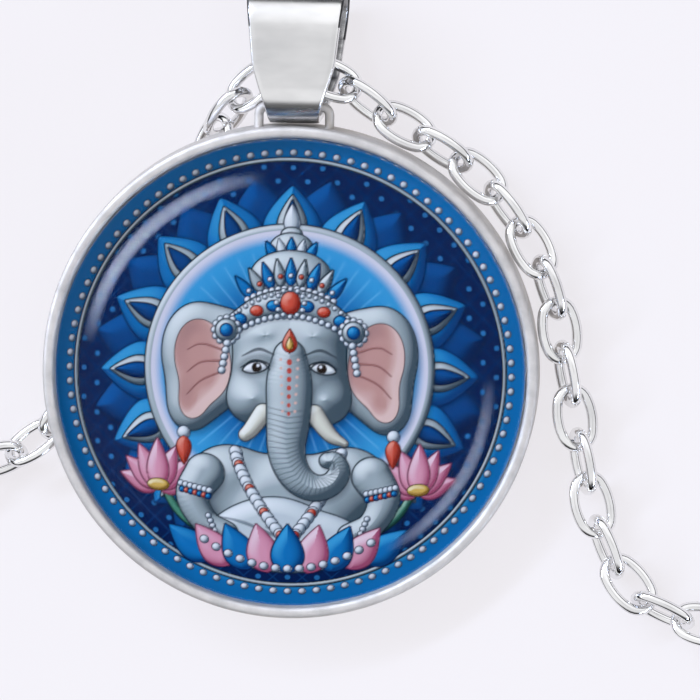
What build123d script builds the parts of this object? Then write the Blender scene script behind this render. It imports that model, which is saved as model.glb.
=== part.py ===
from build123d import *
import math
import os

# A pendant necklace in silver-tone metal, lying face up on a flat surface. A glass dome
# sits over a printed paper disc in a round tray. The tray's ear carries a folded strap
# bail, and a chain of oval links runs through the bail and closes at a clasp.
# Millimetres, +Z up. The origin is the middle of the tray's back, and +Y runs from
# there towards the bail. The tray leans a little, because the chain passes under it.

# Glass dome
glass_radius = 12.5
glass_edge = 1.3  # height of the upright edge
glass_rise = 4.2  # height of the dome above that edge
glass_edge_round = 0.2

# Printed disc
print_thickness = 0.25
print_margin = 0.1  # how far the disc stays inside the glass's edge

# Tray
tray_floor = 0.7
tray_wall = 0.6
rim_round = 0.24
foot_round = 0.4
seat_clearance = 0.1  # round the glass
layer_gap = 0.05  # under the disc and under the glass

# Ear, a wire loop cast on the tray's edge
ear_wire = 0.5
ear_corner = 0.45  # radius of its corners, on the wire's centre line
ear_lift = 1.5  # height of its wire above the tray's back

# Bail, a strap folded into a closed loop
bail_strap = 0.5  # thickness
bail_foot_depth = 3.8  # front to back at the ear
bail_head_depth = 4.6  # front to back at the top bend
bail_length = 7.4
bail_foot_width = 2.7
bail_waist_width = 4.4  # where its sides bend in towards the foot
bail_waist_height = 2.7  # from the foot to that bend
bail_waist_round = 3.0
bail_head_width = 5.4
bail_edge_round = 0.1
hinge_clearance = 0.12  # between the bail and the ear, and the bail and the tray
floor_clearance = 0.05  # under the bail's head

# Chain link, an oval of round wire
link_length = 3.72
link_width = 2.52
link_wire = 0.56
link_end_radius = 0.87  # on the wire's centre line
link_slack = 0.21  # play between two links' wires along the chain

# Clasp and its two rings
clasp_length = 8.0
clasp_width = 4.6
clasp_wire = 1.3
clasp_end_radius = 1.55
clasp_eye_diameter = 2.7
clasp_eye_wire = 0.75
clasp_ring_diameter = 3.2
clasp_ring_wire = 0.6
end_ring_diameter = 4.0
end_ring_wire = 0.7
clasp_roll = -25.0  # turn about the chain's line, 0 is flat
ring_roll = 50.0

# Chain's route
clasp_reach = 104.65  # from the tray's edge to the clasp, along Y
links_roll = 45.0  # turn of every other link about the chain's line
samples_per_span = 24
# Columns: bearing from the tray's middle, where 0 is +X and 90 is the bail; distance beyond
# the tray's edge; lift above a chain at rest on the floor; roll of every other link. The
# right strand's last point, in the bail, is where the left strand begins.
right_route = [
    (76, 102, 0.1, 45),
    (61, 94, 0, 45),
    (45, 80, 0, 45),
    (29, 64.5, 0, 45),
    (11, 48, 0, 45),
    (-6, 34, 0, 45),
    (-20, 23, 0, 40),
    (-28, 15, 0, 35),
    (-31, 11.4, 0, 30),
    (-31.5, 8.3, 0, 30),
    (-25, 5, 0, 30),
    (-14.5, 2.9, 0, 30),
    (4.5, 1.4, 0.15, 30),
    (21, 1.4, 0.5, 35),
    (42, 1.3, 0.6, 35),
    (55, 1.2, 1.05, 43),
    (74.5, 1.6, 1.5, 38),
    (78.5, 2.2, 1.7, 42),
    (87, 2.8, 2, 32),
]
left_route = [
    (91, 3.1, 2.15, 38),
    (108.5, 0.5, 0.45, 30),
    (108, -0.1, 0, 38),
    (131, -2.6, 0.1, 40),
    (158, -3.9, 0, 45),
    (184, -2.5, 0, 45),
    (197, 0.8, 0, 45),
    (199, 5.2, 0, 45),
    (190.5, 14, 0, 45),
    (177, 30, 0, 45),
    (162.5, 46.5, 0, 45),
    (147.5, 65, 0, 45),
    (132.5, 81.5, 0, 45),
    (117.5, 95, 0, 45),
    (103.5, 102.5, 0.1, 45),
]

# Strand that passes under the tray
strand_heading = -31.0  # the downhill direction of the leaning tray, from +X
strand_offset = 9.0  # from the tray's middle to the strand, uphill
strand_clearance = 0.25

# Tray, glass and loop, worked out
seat_radius = glass_radius + seat_clearance
tray_radius = seat_radius + tray_wall
print_base = tray_floor + layer_gap
glass_base = print_base + print_thickness + layer_gap
tray_height = glass_base + glass_edge
ear_reach = tray_radius + bail_strap + 2 * hinge_clearance + ear_wire / 2
bail_foot_slope = (bail_waist_width - bail_foot_width) / bail_waist_height
ear_opening = bail_foot_width + bail_foot_slope * bail_strap + 2 * hinge_clearance
loop_top = tray_radius + clasp_reach

# Lean of the tray, worked out from the strand that it rests on
link_half_width = (link_width - link_wire) / 2
foot_radius = tray_radius - foot_round


def rest_height(roll):
    """Height of the chain's line above the floor, where every other link has this roll."""
    steepest = max(abs(roll), 90 - abs(roll))
    return link_half_width * math.sin(math.radians(steepest)) + link_wire / 2


strand_height = 2 * rest_height(links_roll) + strand_clearance
lean_angle = math.degrees(math.atan2(strand_height, foot_radius + strand_offset))
floor_z = -foot_radius * math.sin(math.radians(lean_angle))
lean = Rot(0, 0, strand_heading) * Rot(0, lean_angle, 0) * Rot(0, 0, -strand_heading)


def oval_ring(length, width, wire, end_radius):
    """A closed ring of round wire, long in X and wide in Y, from four tangent arcs."""
    half_length = (length - wire) / 2
    half_width = (width - wire) / 2
    end_centre = half_length - end_radius
    side_radius = (end_centre**2 + half_width**2 - end_radius**2) / (2 * (half_width - end_radius))
    side_centre = side_radius - half_width
    tangent_angle = math.degrees(math.atan2(side_centre, end_centre))
    turn = 90 - tangent_angle
    ends = [CenterArc((end_centre, 0), end_radius, -tangent_angle, 2 * tangent_angle)]
    ends.append(CenterArc((-end_centre, 0), end_radius, 180 - tangent_angle, 2 * tangent_angle))
    sides = [CenterArc((0, -side_centre), side_radius, 90 - turn, 2 * turn)]
    sides.append(CenterArc((0, side_centre), side_radius, 270 - turn, 2 * turn))
    path = Wire(ends + sides)
    section = Plane(path @ 0, z_dir=path % 0) * Circle(wire / 2)
    return sweep(section, path=path)


def round_ring(diameter, wire):
    """A closed round ring in the XY plane."""
    return Torus((diameter - wire) / 2, wire / 2)


def tray():
    """Cup for the glass, with a rounded rim, a softened foot and the ear."""
    outline = Polyline(
        (0, 0),
        (tray_radius, 0),
        (tray_radius, tray_height),
        (seat_radius, tray_height),
        (seat_radius, tray_floor),
        (0, tray_floor),
        close=True,
    )
    profile = make_face(outline)
    foot = profile.vertices().filter_by(lambda v: v.X > seat_radius and v.Y < tray_floor)
    profile = fillet(foot, foot_round)
    rim = profile.vertices().filter_by(lambda v: v.Y > tray_height - layer_gap)
    profile = fillet(rim, rim_round)
    cup = revolve(Plane.XZ * profile, Axis.Z)
    side = (ear_opening + ear_wire) / 2
    root = seat_radius + tray_wall / 2
    path = FilletPolyline(
        (-side, root, ear_lift),
        (-side, ear_reach, ear_lift),
        (side, ear_reach, ear_lift),
        (side, root, ear_lift),
        radius=ear_corner,
    )
    ear = sweep(Plane(path @ 0, z_dir=path % 0) * Circle(ear_wire / 2), path=path)
    return cup + ear


def glass_dome():
    """Solid glass with a flat underside, an upright edge and a domed top."""
    shoulder = glass_base + glass_edge
    crown = shoulder + glass_rise
    dome_radius = (glass_radius**2 + glass_rise**2) / (2 * glass_rise)
    half_angle = math.asin(glass_radius / dome_radius) / 2
    middle_radius = dome_radius * math.sin(half_angle)
    middle_height = crown - dome_radius * (1 - math.cos(half_angle))
    outline = [
        Line((0, glass_base), (glass_radius, glass_base)),
        Line((glass_radius, glass_base), (glass_radius, shoulder)),
        ThreePointArc((glass_radius, shoulder), (middle_radius, middle_height), (0, crown)),
        Line((0, crown), (0, glass_base)),
    ]
    profile = make_face(outline)
    corners = profile.vertices().filter_by(lambda v: v.X > middle_radius)
    profile = fillet(corners, glass_edge_round)
    return revolve(Plane.XZ * profile, Axis.Z)


def picture_insert():
    """Paper disc under the glass."""
    disc = Cylinder(glass_radius - print_margin, print_thickness)
    return Pos(0, 0, print_base + print_thickness / 2) * disc


def bail_side(inset):
    """Outline of the bail seen from its side, drawn along X, inset from its outer face."""
    foot = Pos(bail_foot_centre, 0) * Circle(bail_foot_depth / 2 - inset)
    head = Pos(bail_head_centre, 0) * Circle(bail_head_depth / 2 - inset)
    return make_hull(foot.edges() + head.edges())


bail_foot_centre = bail_foot_depth / 2 - bail_strap - hinge_clearance - ear_wire / 2
bail_foot_end = bail_foot_centre - bail_foot_depth / 2
bail_head_end = bail_foot_end + bail_length
bail_head_centre = bail_head_end - bail_head_depth / 2


def bail_drop():
    """Angle that lays the bail's head on the floor, turned about the ear's bar."""
    pivot = lean * Pos(0, ear_reach, ear_lift)
    ahead = (lean * Pos(0, 1, 0)).position.Z
    up = (lean * Pos(0, 0, 1)).position.Z
    sideways = abs((lean * Pos(1, 0, 0)).position.Z) * bail_head_width / 2
    wanted = floor_z + floor_clearance + bail_head_depth / 2 + sideways - pivot.position.Z
    arm = bail_head_centre * math.hypot(ahead, up)
    return math.degrees(math.acos(wanted / arm) - math.atan2(up, ahead))


def bail():
    """Strap folded round the ear's bar, with sides that bend in towards its foot."""
    drop = bail_drop()
    band = bail_side(0) - bail_side(bail_strap)
    loop = extrude(Plane.YZ * band, bail_head_width / 2, both=True)
    waist = bail_foot_end + bail_waist_height
    outline = Polyline(
        (-bail_foot_width / 2, bail_foot_end),
        (bail_foot_width / 2, bail_foot_end),
        (bail_waist_width / 2, waist),
        (bail_head_width / 2, bail_head_end),
        (-bail_head_width / 2, bail_head_end),
        (-bail_waist_width / 2, waist),
        close=True,
    )
    front = make_face(outline)
    waist_corners = front.vertices().filter_by(lambda v: abs(v.Y - waist) < bail_edge_round)
    front = fillet(waist_corners, bail_waist_round)
    loop = loop & extrude(front, bail_head_depth, both=True)
    loop = fillet(loop.edges(), bail_edge_round)
    return Pos(0, ear_reach, ear_lift) * Rot(-drop, 0, 0) * loop


def reach(length, wire, next_wire):
    """From the middle of a ring to its joint with the next one."""
    return (length - wire) / 2 - (wire + next_wire) / 4 - link_slack / 2


clasp_joint = clasp_length / 2 - clasp_wire / 2 - (clasp_wire + end_ring_wire) / 4 - link_slack / 2
eye_centre = clasp_length / 2 + clasp_eye_diameter / 2 - clasp_eye_wire / 2
eye_joint = eye_centre + reach(clasp_eye_diameter, clasp_eye_wire, clasp_ring_wire)
clasp_ring_in = reach(clasp_ring_diameter, clasp_ring_wire, link_wire)
clasp_ring_out = reach(clasp_ring_diameter, clasp_ring_wire, clasp_eye_wire)
end_ring_in = reach(end_ring_diameter, end_ring_wire, link_wire)
end_ring_out = reach(end_ring_diameter, end_ring_wire, clasp_wire)
fastening = clasp_ring_in + clasp_ring_out + eye_joint + clasp_joint + end_ring_out + end_ring_in


def clasp():
    """Closed clasp as one plain piece, nose along -X and eye along +X."""
    body = oval_ring(clasp_length, clasp_width, clasp_wire, clasp_end_radius)
    eye = Pos(eye_centre, 0, 0) * round_ring(clasp_eye_diameter, clasp_eye_wire)
    return body + eye


def fastening_height():
    """Height of the clasp's and rings' middle above the floor, so that the tallest rests."""
    clasp_half = (clasp_width - clasp_wire) / 2 * math.sin(math.radians(abs(clasp_roll)))
    ring_half = (end_ring_diameter - end_ring_wire) / 2 * math.sin(math.radians(ring_roll))
    return max(clasp_half + clasp_wire / 2, ring_half + end_ring_wire / 2)


def fastening_pieces():
    """The clasp and its rings in a row along X, from the chain's right end to its left."""
    row = Pos(0, loop_top, floor_z + fastening_height())
    ring_x = fastening / 2 - clasp_ring_in
    clasp_x = ring_x - clasp_ring_out - eye_joint
    end_x = -fastening / 2 + end_ring_in
    small_ring = round_ring(clasp_ring_diameter, clasp_ring_wire)
    large_ring = round_ring(end_ring_diameter, end_ring_wire)
    return {
        "clasp_ring": row * Pos(ring_x, 0, 0) * Rot(ring_roll, 0, 0) * small_ring,
        "clasp": row * Pos(clasp_x, 0, 0) * Rot(clasp_roll, 0, 0) * clasp(),
        "end_ring": row * Pos(end_x, 0, 0) * Rot(ring_roll, 0, 0) * large_ring,
    }


def blend(first, last, start, end, at):
    """Value between two rows of numbers, where first holds at start and last at end."""
    share = (at - start) / (end - start)
    return [a + (b - a) * share for a, b in zip(first, last)]


def route_samples():
    """Rows of x, y, z and roll along a smooth line through the route's points."""
    clasp_z = floor_z + fastening_height()
    points = [(fastening / 2, loop_top, clasp_z, links_roll)]
    for bearing, beyond, lift, roll in right_route + left_route:
        turn = math.radians(bearing)
        radius = tray_radius + beyond
        height = floor_z + rest_height(roll) + lift
        points.append((radius * math.cos(turn), radius * math.sin(turn), height, roll))
    points.append((-fastening / 2, loop_top, clasp_z, links_roll))
    before = blend(points[0], points[1], 0, 1, -1)
    after = blend(points[-1], points[-2], 0, 1, -1)
    points = [before, *points, after]
    knots = [0.0]
    for here, there in zip(points, points[1:]):
        knots.append(knots[-1] + math.dist(here[:3], there[:3]) ** 0.5)
    samples = [points[1]]
    for i in range(1, len(points) - 2):
        t = knots[i - 1 : i + 3]
        p = points[i - 1 : i + 3]
        for step in range(1, samples_per_span + 1):
            at = t[1] + (t[2] - t[1]) * step / samples_per_span
            rows = [blend(p[k], p[k + 1], t[k], t[k + 1], at) for k in range(3)]
            rows = [blend(rows[k], rows[k + 1], t[k], t[k + 2], at) for k in range(2)]
            samples.append(blend(rows[0], rows[1], t[1], t[2], at))
    return samples


def lengths_along(samples):
    """Length of the route from its start to each sample."""
    lengths = [0.0]
    for here, there in zip(samples, samples[1:]):
        lengths.append(lengths[-1] + math.dist(here[:3], there[:3]))
    return lengths


def joints_along(samples, start, end, first_is_wide):
    """Rows at the joints of a strand from one length along the route to another.

    The count of links is such that the last one lies across the ring that it hangs in.
    """
    lengths = lengths_along(samples)
    pitch = link_length - 2 * link_wire - link_slack
    odd_link = 0 if first_is_wide else 1
    count = 2 * round((abs(end - start) / pitch - odd_link) / 2) + odd_link
    joints = []
    for step in range(count + 1):
        wanted = start + (end - start) * step / count
        i = 1
        while i < len(lengths) - 1 and lengths[i] < wanted:
            i += 1
        joints.append(blend(samples[i - 1], samples[i], lengths[i - 1], lengths[i], wanted))
    return joints


def link_places(joints, first_is_wide, along):
    """Where each link of a strand lies. along is 1 if the strand runs as the route does."""
    places = []
    for index, (here, there) in enumerate(zip(joints, joints[1:])):
        start = Vector(*here[:3])
        end = Vector(*there[:3])
        line = (end - start).normalized() * along
        level = Vector(0, 0, 1).cross(line).normalized()
        quarter_turns = index + (0 if first_is_wide else 1)
        roll = math.radians((here[3] + there[3]) / 2 - 90 * (quarter_turns % 2))
        across = level * math.cos(roll) + line.cross(level) * math.sin(roll)
        middle = (start + end) / 2
        places.append(Plane(middle, x_dir=line, z_dir=line.cross(across)).location)
    return places


def chain_strands():
    """The chain's right and left strands, from the bail outwards, as lists of places."""
    samples = route_samples()
    lengths = lengths_along(samples)
    meeting = lengths[len(right_route) * samples_per_span]
    right = link_places(joints_along(samples, meeting, 0.0, True), True, -1)
    left = link_places(joints_along(samples, meeting, lengths[-1], False), False, 1)
    return right, left


def main():
    """Builds every piece and writes one file for each."""
    link = oval_ring(link_length, link_width, link_wire, link_end_radius)
    right, left = chain_strands()
    pieces = {
        "tray": lean * tray(),
        "glass_dome": lean * glass_dome(),
        "picture_insert": lean * picture_insert(),
        "bail": lean * bail(),
        "chain_right": Compound(children=[place * link for place in right]),
        "chain_left": Compound(children=[place * link for place in left]),
    }
    pieces.update(fastening_pieces())
    os.makedirs("parts", exist_ok=True)
    for name, piece in pieces.items():
        export_step(piece, f"parts/{name}.step")
    print("links", len(right), len(left), "lean", round(lean_angle, 2), "floor", round(floor_z, 3))


main()
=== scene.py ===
"""Dresses the glass-dome pendant necklace: camera, light, metal, glass and printed picture."""

import logging
import math
from contextlib import contextmanager
from dataclasses import dataclass, field
from enum import Enum
from typing import Any, Callable, Iterator

import bmesh
import bpy
import numpy as np
from mathutils import Matrix, Vector


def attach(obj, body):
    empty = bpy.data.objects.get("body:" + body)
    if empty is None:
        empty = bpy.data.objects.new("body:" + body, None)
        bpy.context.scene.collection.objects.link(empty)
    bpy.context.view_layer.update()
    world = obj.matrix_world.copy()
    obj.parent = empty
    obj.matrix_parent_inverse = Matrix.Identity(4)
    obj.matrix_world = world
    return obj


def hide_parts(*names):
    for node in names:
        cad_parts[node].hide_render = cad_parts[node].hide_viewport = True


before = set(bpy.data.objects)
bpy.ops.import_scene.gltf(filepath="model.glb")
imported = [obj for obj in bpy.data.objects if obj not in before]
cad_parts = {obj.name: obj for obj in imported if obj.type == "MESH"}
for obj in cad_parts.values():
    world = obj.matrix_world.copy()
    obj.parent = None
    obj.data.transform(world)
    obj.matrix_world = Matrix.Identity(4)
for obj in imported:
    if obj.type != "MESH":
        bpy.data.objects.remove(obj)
LOG = logging.getLogger("pendant")

Piece = bpy.types.Object
Material = bpy.types.Material
Tree = bpy.types.NodeTree
Socket = bpy.types.NodeSocket
Row = tuple[float, ...]

MM = 0.001
PHOTO_PIXELS = 700
ON_LINE = 0.01  # mm within which a point counts as on a line or level
MERGE = 0.0005  # mm within which doubled points are one
FACES_UP = 0.9  # a face's normal along Z, past which it faces up


class Pick(Enum):
    """What edit mode selects."""

    FACE = "FACE"
    EDGE = "EDGE"
    VERTEX = "VERT"


def linear(hex_colour: str) -> tuple[float, float, float, float]:
    """Turns an sRGB colour such as "C0C0C4" to linear red, green, blue and alpha."""
    parts = [int(hex_colour[i : i + 2], 16) / 255 for i in (0, 2, 4)]
    return (*(p / 12.92 if p <= 0.04045 else ((p + 0.055) / 1.055) ** 2.4 for p in parts), 1.0)


def add_node(
    tree: Tree, kind: str, settings: dict[Any, Any] | None = None, links: dict[Any, Any] | None = None
) -> bpy.types.Node:
    """Adds a node to a tree.

    Args:
        tree: The material's or world's node tree.
        kind: The node's type, such as "ShaderNodeTexNoise".
        settings: Values by input name or number, or by the node's own property.
        links: Sockets by the name or number of the input that each feeds.

    Returns:
        The new node.
    """
    node = tree.nodes.new(kind)
    for name, value in (settings or {}).items():
        if isinstance(name, str) and hasattr(node, name):
            setattr(node, name, value)
        else:
            node.inputs[name].default_value = value
    for name, socket in (links or {}).items():
        tree.links.new(socket, node.inputs[name])
    return node


def blank_material(name: str) -> Material:
    """Makes a material with an empty node tree."""
    material = bpy.data.materials.new(name)
    material.use_nodes = True
    material.node_tree.nodes.clear()
    return material


def take(piece: Piece) -> None:
    """Makes a piece the only selected and active one."""
    bpy.ops.object.select_all(action="DESELECT")
    piece.select_set(True)
    bpy.context.view_layer.objects.active = piece


def start(primitive: Callable[..., Any], name: str, **settings: Any) -> Piece:
    """Adds a primitive as the start of a piece.

    Args:
        primitive: The operator that adds it.
        name: The piece's name.
        settings: The operator's settings.

    Returns:
        The new object, alone in the selection.
    """
    bpy.ops.object.select_all(action="DESELECT")
    primitive(**settings)
    piece = bpy.context.active_object
    piece.name = name
    piece.data.name = name
    return piece


@contextmanager
def editing(piece: Piece) -> Iterator[None]:
    """Opens a piece in edit mode and closes it again."""
    take(piece)
    bpy.ops.object.mode_set(mode="EDIT")
    yield
    bpy.ops.object.mode_set(mode="OBJECT")


def choose(piece: Piece, pick: Pick, wanted: Callable[[Any], bool]) -> None:
    """Selects, in edit mode, only the faces, edges or vertices that pass a test."""
    bpy.ops.mesh.select_mode(type=pick.value)
    bpy.ops.mesh.select_all(action="DESELECT")
    form = bmesh.from_edit_mesh(piece.data)
    parts = {Pick.FACE: form.faces, Pick.EDGE: form.edges, Pick.VERTEX: form.verts}[pick]
    for part in parts:
        if wanted(part):
            part.select_set(True)
    form.select_flush_mode()
    bmesh.update_edit_mesh(piece.data)


def extrude(z: float) -> None:
    """Extrudes the selection along Z, in edit mode."""
    bpy.ops.mesh.extrude_region_move(TRANSFORM_OT_translate={"value": (0, 0, z)})


def outward(piece: Piece) -> None:
    """Merges doubles and turns all faces outwards."""
    with editing(piece):
        bpy.ops.mesh.select_all(action="SELECT")
        bpy.ops.mesh.remove_doubles(threshold=MERGE)
        bpy.ops.mesh.normals_make_consistent(inside=False)


def soften(piece: Piece, degrees: float) -> None:
    """Shades a piece smooth, apart from edges sharper than this."""
    take(piece)
    bpy.ops.object.shade_smooth_by_angle(angle=math.radians(degrees))


def join(piece: Piece, other: Piece) -> None:
    """Makes another object part of a piece."""
    take(piece)
    other.select_set(True)
    bpy.ops.object.join()


def finish_with(piece: Piece, kind: str, **settings: Any) -> None:
    """Adds a modifier with its settings and applies it."""
    take(piece)
    modifier = piece.modifiers.new(kind.title(), kind)
    for name, value in settings.items():
        setattr(modifier, name, value)
    bpy.ops.object.modifier_apply(modifier=modifier.name)


def settle(piece: Piece, place: Matrix, finish: Material, slot: str, *nodes: str) -> Piece:
    """Puts a piece drawn in millimetres at its place, dresses it and seats it on the frame.

    Args:
        piece: The piece, with its object at the origin.
        place: Where it goes, in millimetres.
        finish: Its material.
        slot: A material slot's name; not used.
        nodes: The CAD nodes that it replaces.

    Returns:
        The same piece.
    """
    piece.data.transform(piece.matrix_world)
    piece.matrix_world = Matrix.Identity(4)
    piece.data.transform(Matrix.Scale(MM, 4) @ place)
    piece.data.materials.clear()
    piece.data.materials.append(finish)
    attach(piece, "root")
    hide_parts(*nodes)
    return piece


@dataclass(frozen=True)
class SilverPlating:
    """Bright silver-tone electroplating over cast zinc, folded strap or steel wire.

    The plating is mirror-smooth where nothing else is given, with faint grey clouding where
    it is handled and a very fine orange-peel ripple from the metal below, which breaks up
    reflections a little. On folded strap both are drawn out into streaks along the fold.
    """

    name: str
    colour: str = "F2F2F2"
    cloud_colour: str = "D8D8D9"
    cloud_mm: float = 2.5
    roughness: float = 0.05
    rubbed_roughness: float = 0.12
    ripple_mm: float = 0.9
    ripple_depth_mm: float = 0.002
    streak: float = 1.0
    clouded: tuple[float, float] = (0.35, 0.75)
    rubbed: tuple[float, float] = (0.4, 0.7)

    def build(self) -> Material:
        """Makes the material."""
        material = blank_material(self.name)
        tree = material.node_tree
        where = add_node(tree, "ShaderNodeTexCoord").outputs["Object"]
        stretch = {"Scale": (1 / self.streak, 1.0, 1.0)}
        drawn = add_node(tree, "ShaderNodeMapping", stretch, {"Vector": where}).outputs["Vector"]
        cloud = add_node(
            tree,
            "ShaderNodeTexNoise",
            {"Scale": 1 / (self.cloud_mm * MM), "Detail": 4.0},
            {"Vector": drawn},
        )
        tone = add_node(tree, "ShaderNodeValToRGB", {}, {0: cloud.outputs["Fac"]})
        stops = zip(tone.color_ramp.elements, self.clouded, (self.colour, self.cloud_colour))
        for stop, position, colour in stops:
            stop.position = position
            stop.color = linear(colour)
        worn = add_node(
            tree,
            "ShaderNodeMapRange",
            {
                "From Min": self.rubbed[0],
                "From Max": self.rubbed[1],
                "To Min": self.roughness,
                "To Max": self.rubbed_roughness,
            },
            {"Value": cloud.outputs["Fac"]},
        )
        ripple = add_node(
            tree,
            "ShaderNodeTexNoise",
            {"Scale": 1 / (self.ripple_mm * MM), "Detail": 2.0},
            {"Vector": drawn},
        )
        bump = add_node(
            tree,
            "ShaderNodeBump",
            {"Distance": self.ripple_depth_mm * MM, "Strength": 1.0},
            {"Height": ripple.outputs["Fac"]},
        )
        metal = add_node(
            tree,
            "ShaderNodeBsdfPrincipled",
            {"Metallic": 1.0},
            {
                "Base Color": tone.outputs["Color"],
                "Roughness": worn.outputs["Result"],
                "Normal": bump.outputs["Normal"],
            },
        )
        add_node(tree, "ShaderNodeOutputMaterial", {}, {"Surface": metal.outputs["BSDF"]})
        return material


class Platings(Enum):
    """The metal finishes, by how each surface was made, with two darkened ones that paint shade on
    the bail.
    """

    # Tumbled before plating, so the rim is satin and mirrors nothing sharply.
    CAST_ZINC = SilverPlating(
        "plated_cast_zinc",
        colour="CCC8C4",
        cloud_colour="B8B4B0",
        cloud_mm=1.2,
        roughness=0.62,
        rubbed_roughness=0.74,
        ripple_mm=0.35,
        ripple_depth_mm=0.003,
    )
    # Rolled sheet keeps streaks along the fold and mirrors softly.
    STRAP = SilverPlating(
        "plated_folded_strap",
        colour="ECECEC",
        cloud_colour="C6C6C6",
        cloud_mm=2.4,
        roughness=0.18,
        rubbed_roughness=0.28,
        ripple_mm=0.3,
        ripple_depth_mm=0.003,
        streak=2.5,
    )
    # Painted shade: a streaked grey and dark finish for inside the bail's loop and low in its tight
    # fold, where shade falls.
    FOLD = SilverPlating(
        "fold_painted_shade",
        colour="CFCFD0",
        cloud_colour="505052",
        cloud_mm=0.35,
        roughness=0.25,
        rubbed_roughness=0.4,
        ripple_mm=0.15,
        ripple_depth_mm=0.004,
        streak=8.0,
    )
    # Painted shade: a near-black finish for the sides of the bail's head, where the strap's cut edges
    # lie in shade.
    SHEARED = SilverPlating(
        "head_sides_painted_shade",
        colour="4C4C4E",
        cloud_colour="1E1E20",
        cloud_mm=0.5,
        roughness=0.3,
        rubbed_roughness=0.45,
        ripple_mm=0.2,
        ripple_depth_mm=0.004,
    )
    # Drawn wire is smooth, so each link mirrors the whole room.
    WIRE = SilverPlating("plated_steel_wire")


@dataclass(frozen=True)
class ClearGlass:
    """Clear soda-lime glass, pressed and fire-polished: sharp reflections and no tint.

    Lamps shine through it onto the picture, so that it isn't dark underneath. Its gloss is
    held down, because the print in the photograph shows deep colour right across.
    """

    name: str = "fire_polished_glass"
    colour: str = "FFFFFF"
    ior: float = 1.5
    gloss: str = "545454"
    shadow_tint: str = "F6F8F8"

    def build(self) -> Material:
        """Makes the material."""
        material = blank_material(self.name)
        tree = material.node_tree
        glass = add_node(
            tree,
            "ShaderNodeBsdfPrincipled",
            {
                "Base Color": linear(self.colour),
                "IOR": self.ior,
                "Roughness": 0.0,
                "Transmission Weight": 1.0,
                "Specular Tint": linear(self.gloss),
            },
        )
        clear = add_node(tree, "ShaderNodeBsdfTransparent", {"Color": linear(self.shadow_tint)})
        lamp = add_node(tree, "ShaderNodeLightPath").outputs["Is Shadow Ray"]
        shaders = {0: lamp, 1: glass.outputs["BSDF"], 2: clear.outputs["BSDF"]}
        mix = add_node(tree, "ShaderNodeMixShader", {}, shaders)
        add_node(tree, "ShaderNodeOutputMaterial", {}, {"Surface": mix.outputs["Shader"]})
        return material


@dataclass(frozen=True)
class PrintedPaper:
    """Coated photo paper with an ink print, wetted out by the glue, with a faint tooth."""

    name: str = "printed_photo_paper"
    ink: str = "ink"
    roughness: float = 0.6
    gloss: float = 0.02
    tooth_mm: float = 0.08
    tooth_depth_mm: float = 0.004

    def build(self) -> Material:
        """Makes the material."""
        material = blank_material(self.name)
        tree = material.node_tree
        printed = {"attribute_name": self.ink, "attribute_type": "GEOMETRY"}
        ink = add_node(tree, "ShaderNodeAttribute", printed)
        where = add_node(tree, "ShaderNodeTexCoord").outputs["Object"]
        grain = {"Scale": 1 / (self.tooth_mm * MM), "Detail": 2.0}
        tooth = add_node(tree, "ShaderNodeTexNoise", grain, {"Vector": where})
        bump = add_node(
            tree,
            "ShaderNodeBump",
            {"Distance": self.tooth_depth_mm * MM, "Strength": 0.5},
            {"Height": tooth.outputs["Fac"]},
        )
        paper = add_node(
            tree,
            "ShaderNodeBsdfPrincipled",
            {"Roughness": self.roughness, "Specular IOR Level": self.gloss},
            {"Base Color": ink.outputs["Color"], "Normal": bump.outputs["Normal"]},
        )
        add_node(tree, "ShaderNodeOutputMaterial", {}, {"Surface": paper.outputs["BSDF"]})
        return material


@dataclass(frozen=True)
class LitAcrylic:
    """White acrylic table top, lit evenly from below, as product tables are."""

    name: str = "lit_white_acrylic"
    colour: str = "F7F4F8"
    surface_share: float = 0.12
    glow: float = 0.795
    roughness: float = 0.9
    gloss: float = 0.1

    def build(self) -> Material:
        """Makes the material."""
        material = blank_material(self.name)
        tree = material.node_tree
        surface = (*(part * self.surface_share for part in linear(self.colour)[:3]), 1.0)
        acrylic = add_node(
            tree,
            "ShaderNodeBsdfPrincipled",
            {
                "Base Color": surface,
                "Roughness": self.roughness,
                "Specular IOR Level": self.gloss,
                "Emission Color": linear(self.colour),
                "Emission Strength": self.glow,
            },
        )
        add_node(tree, "ShaderNodeOutputMaterial", {}, {"Surface": acrylic.outputs["BSDF"]})
        return material


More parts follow.
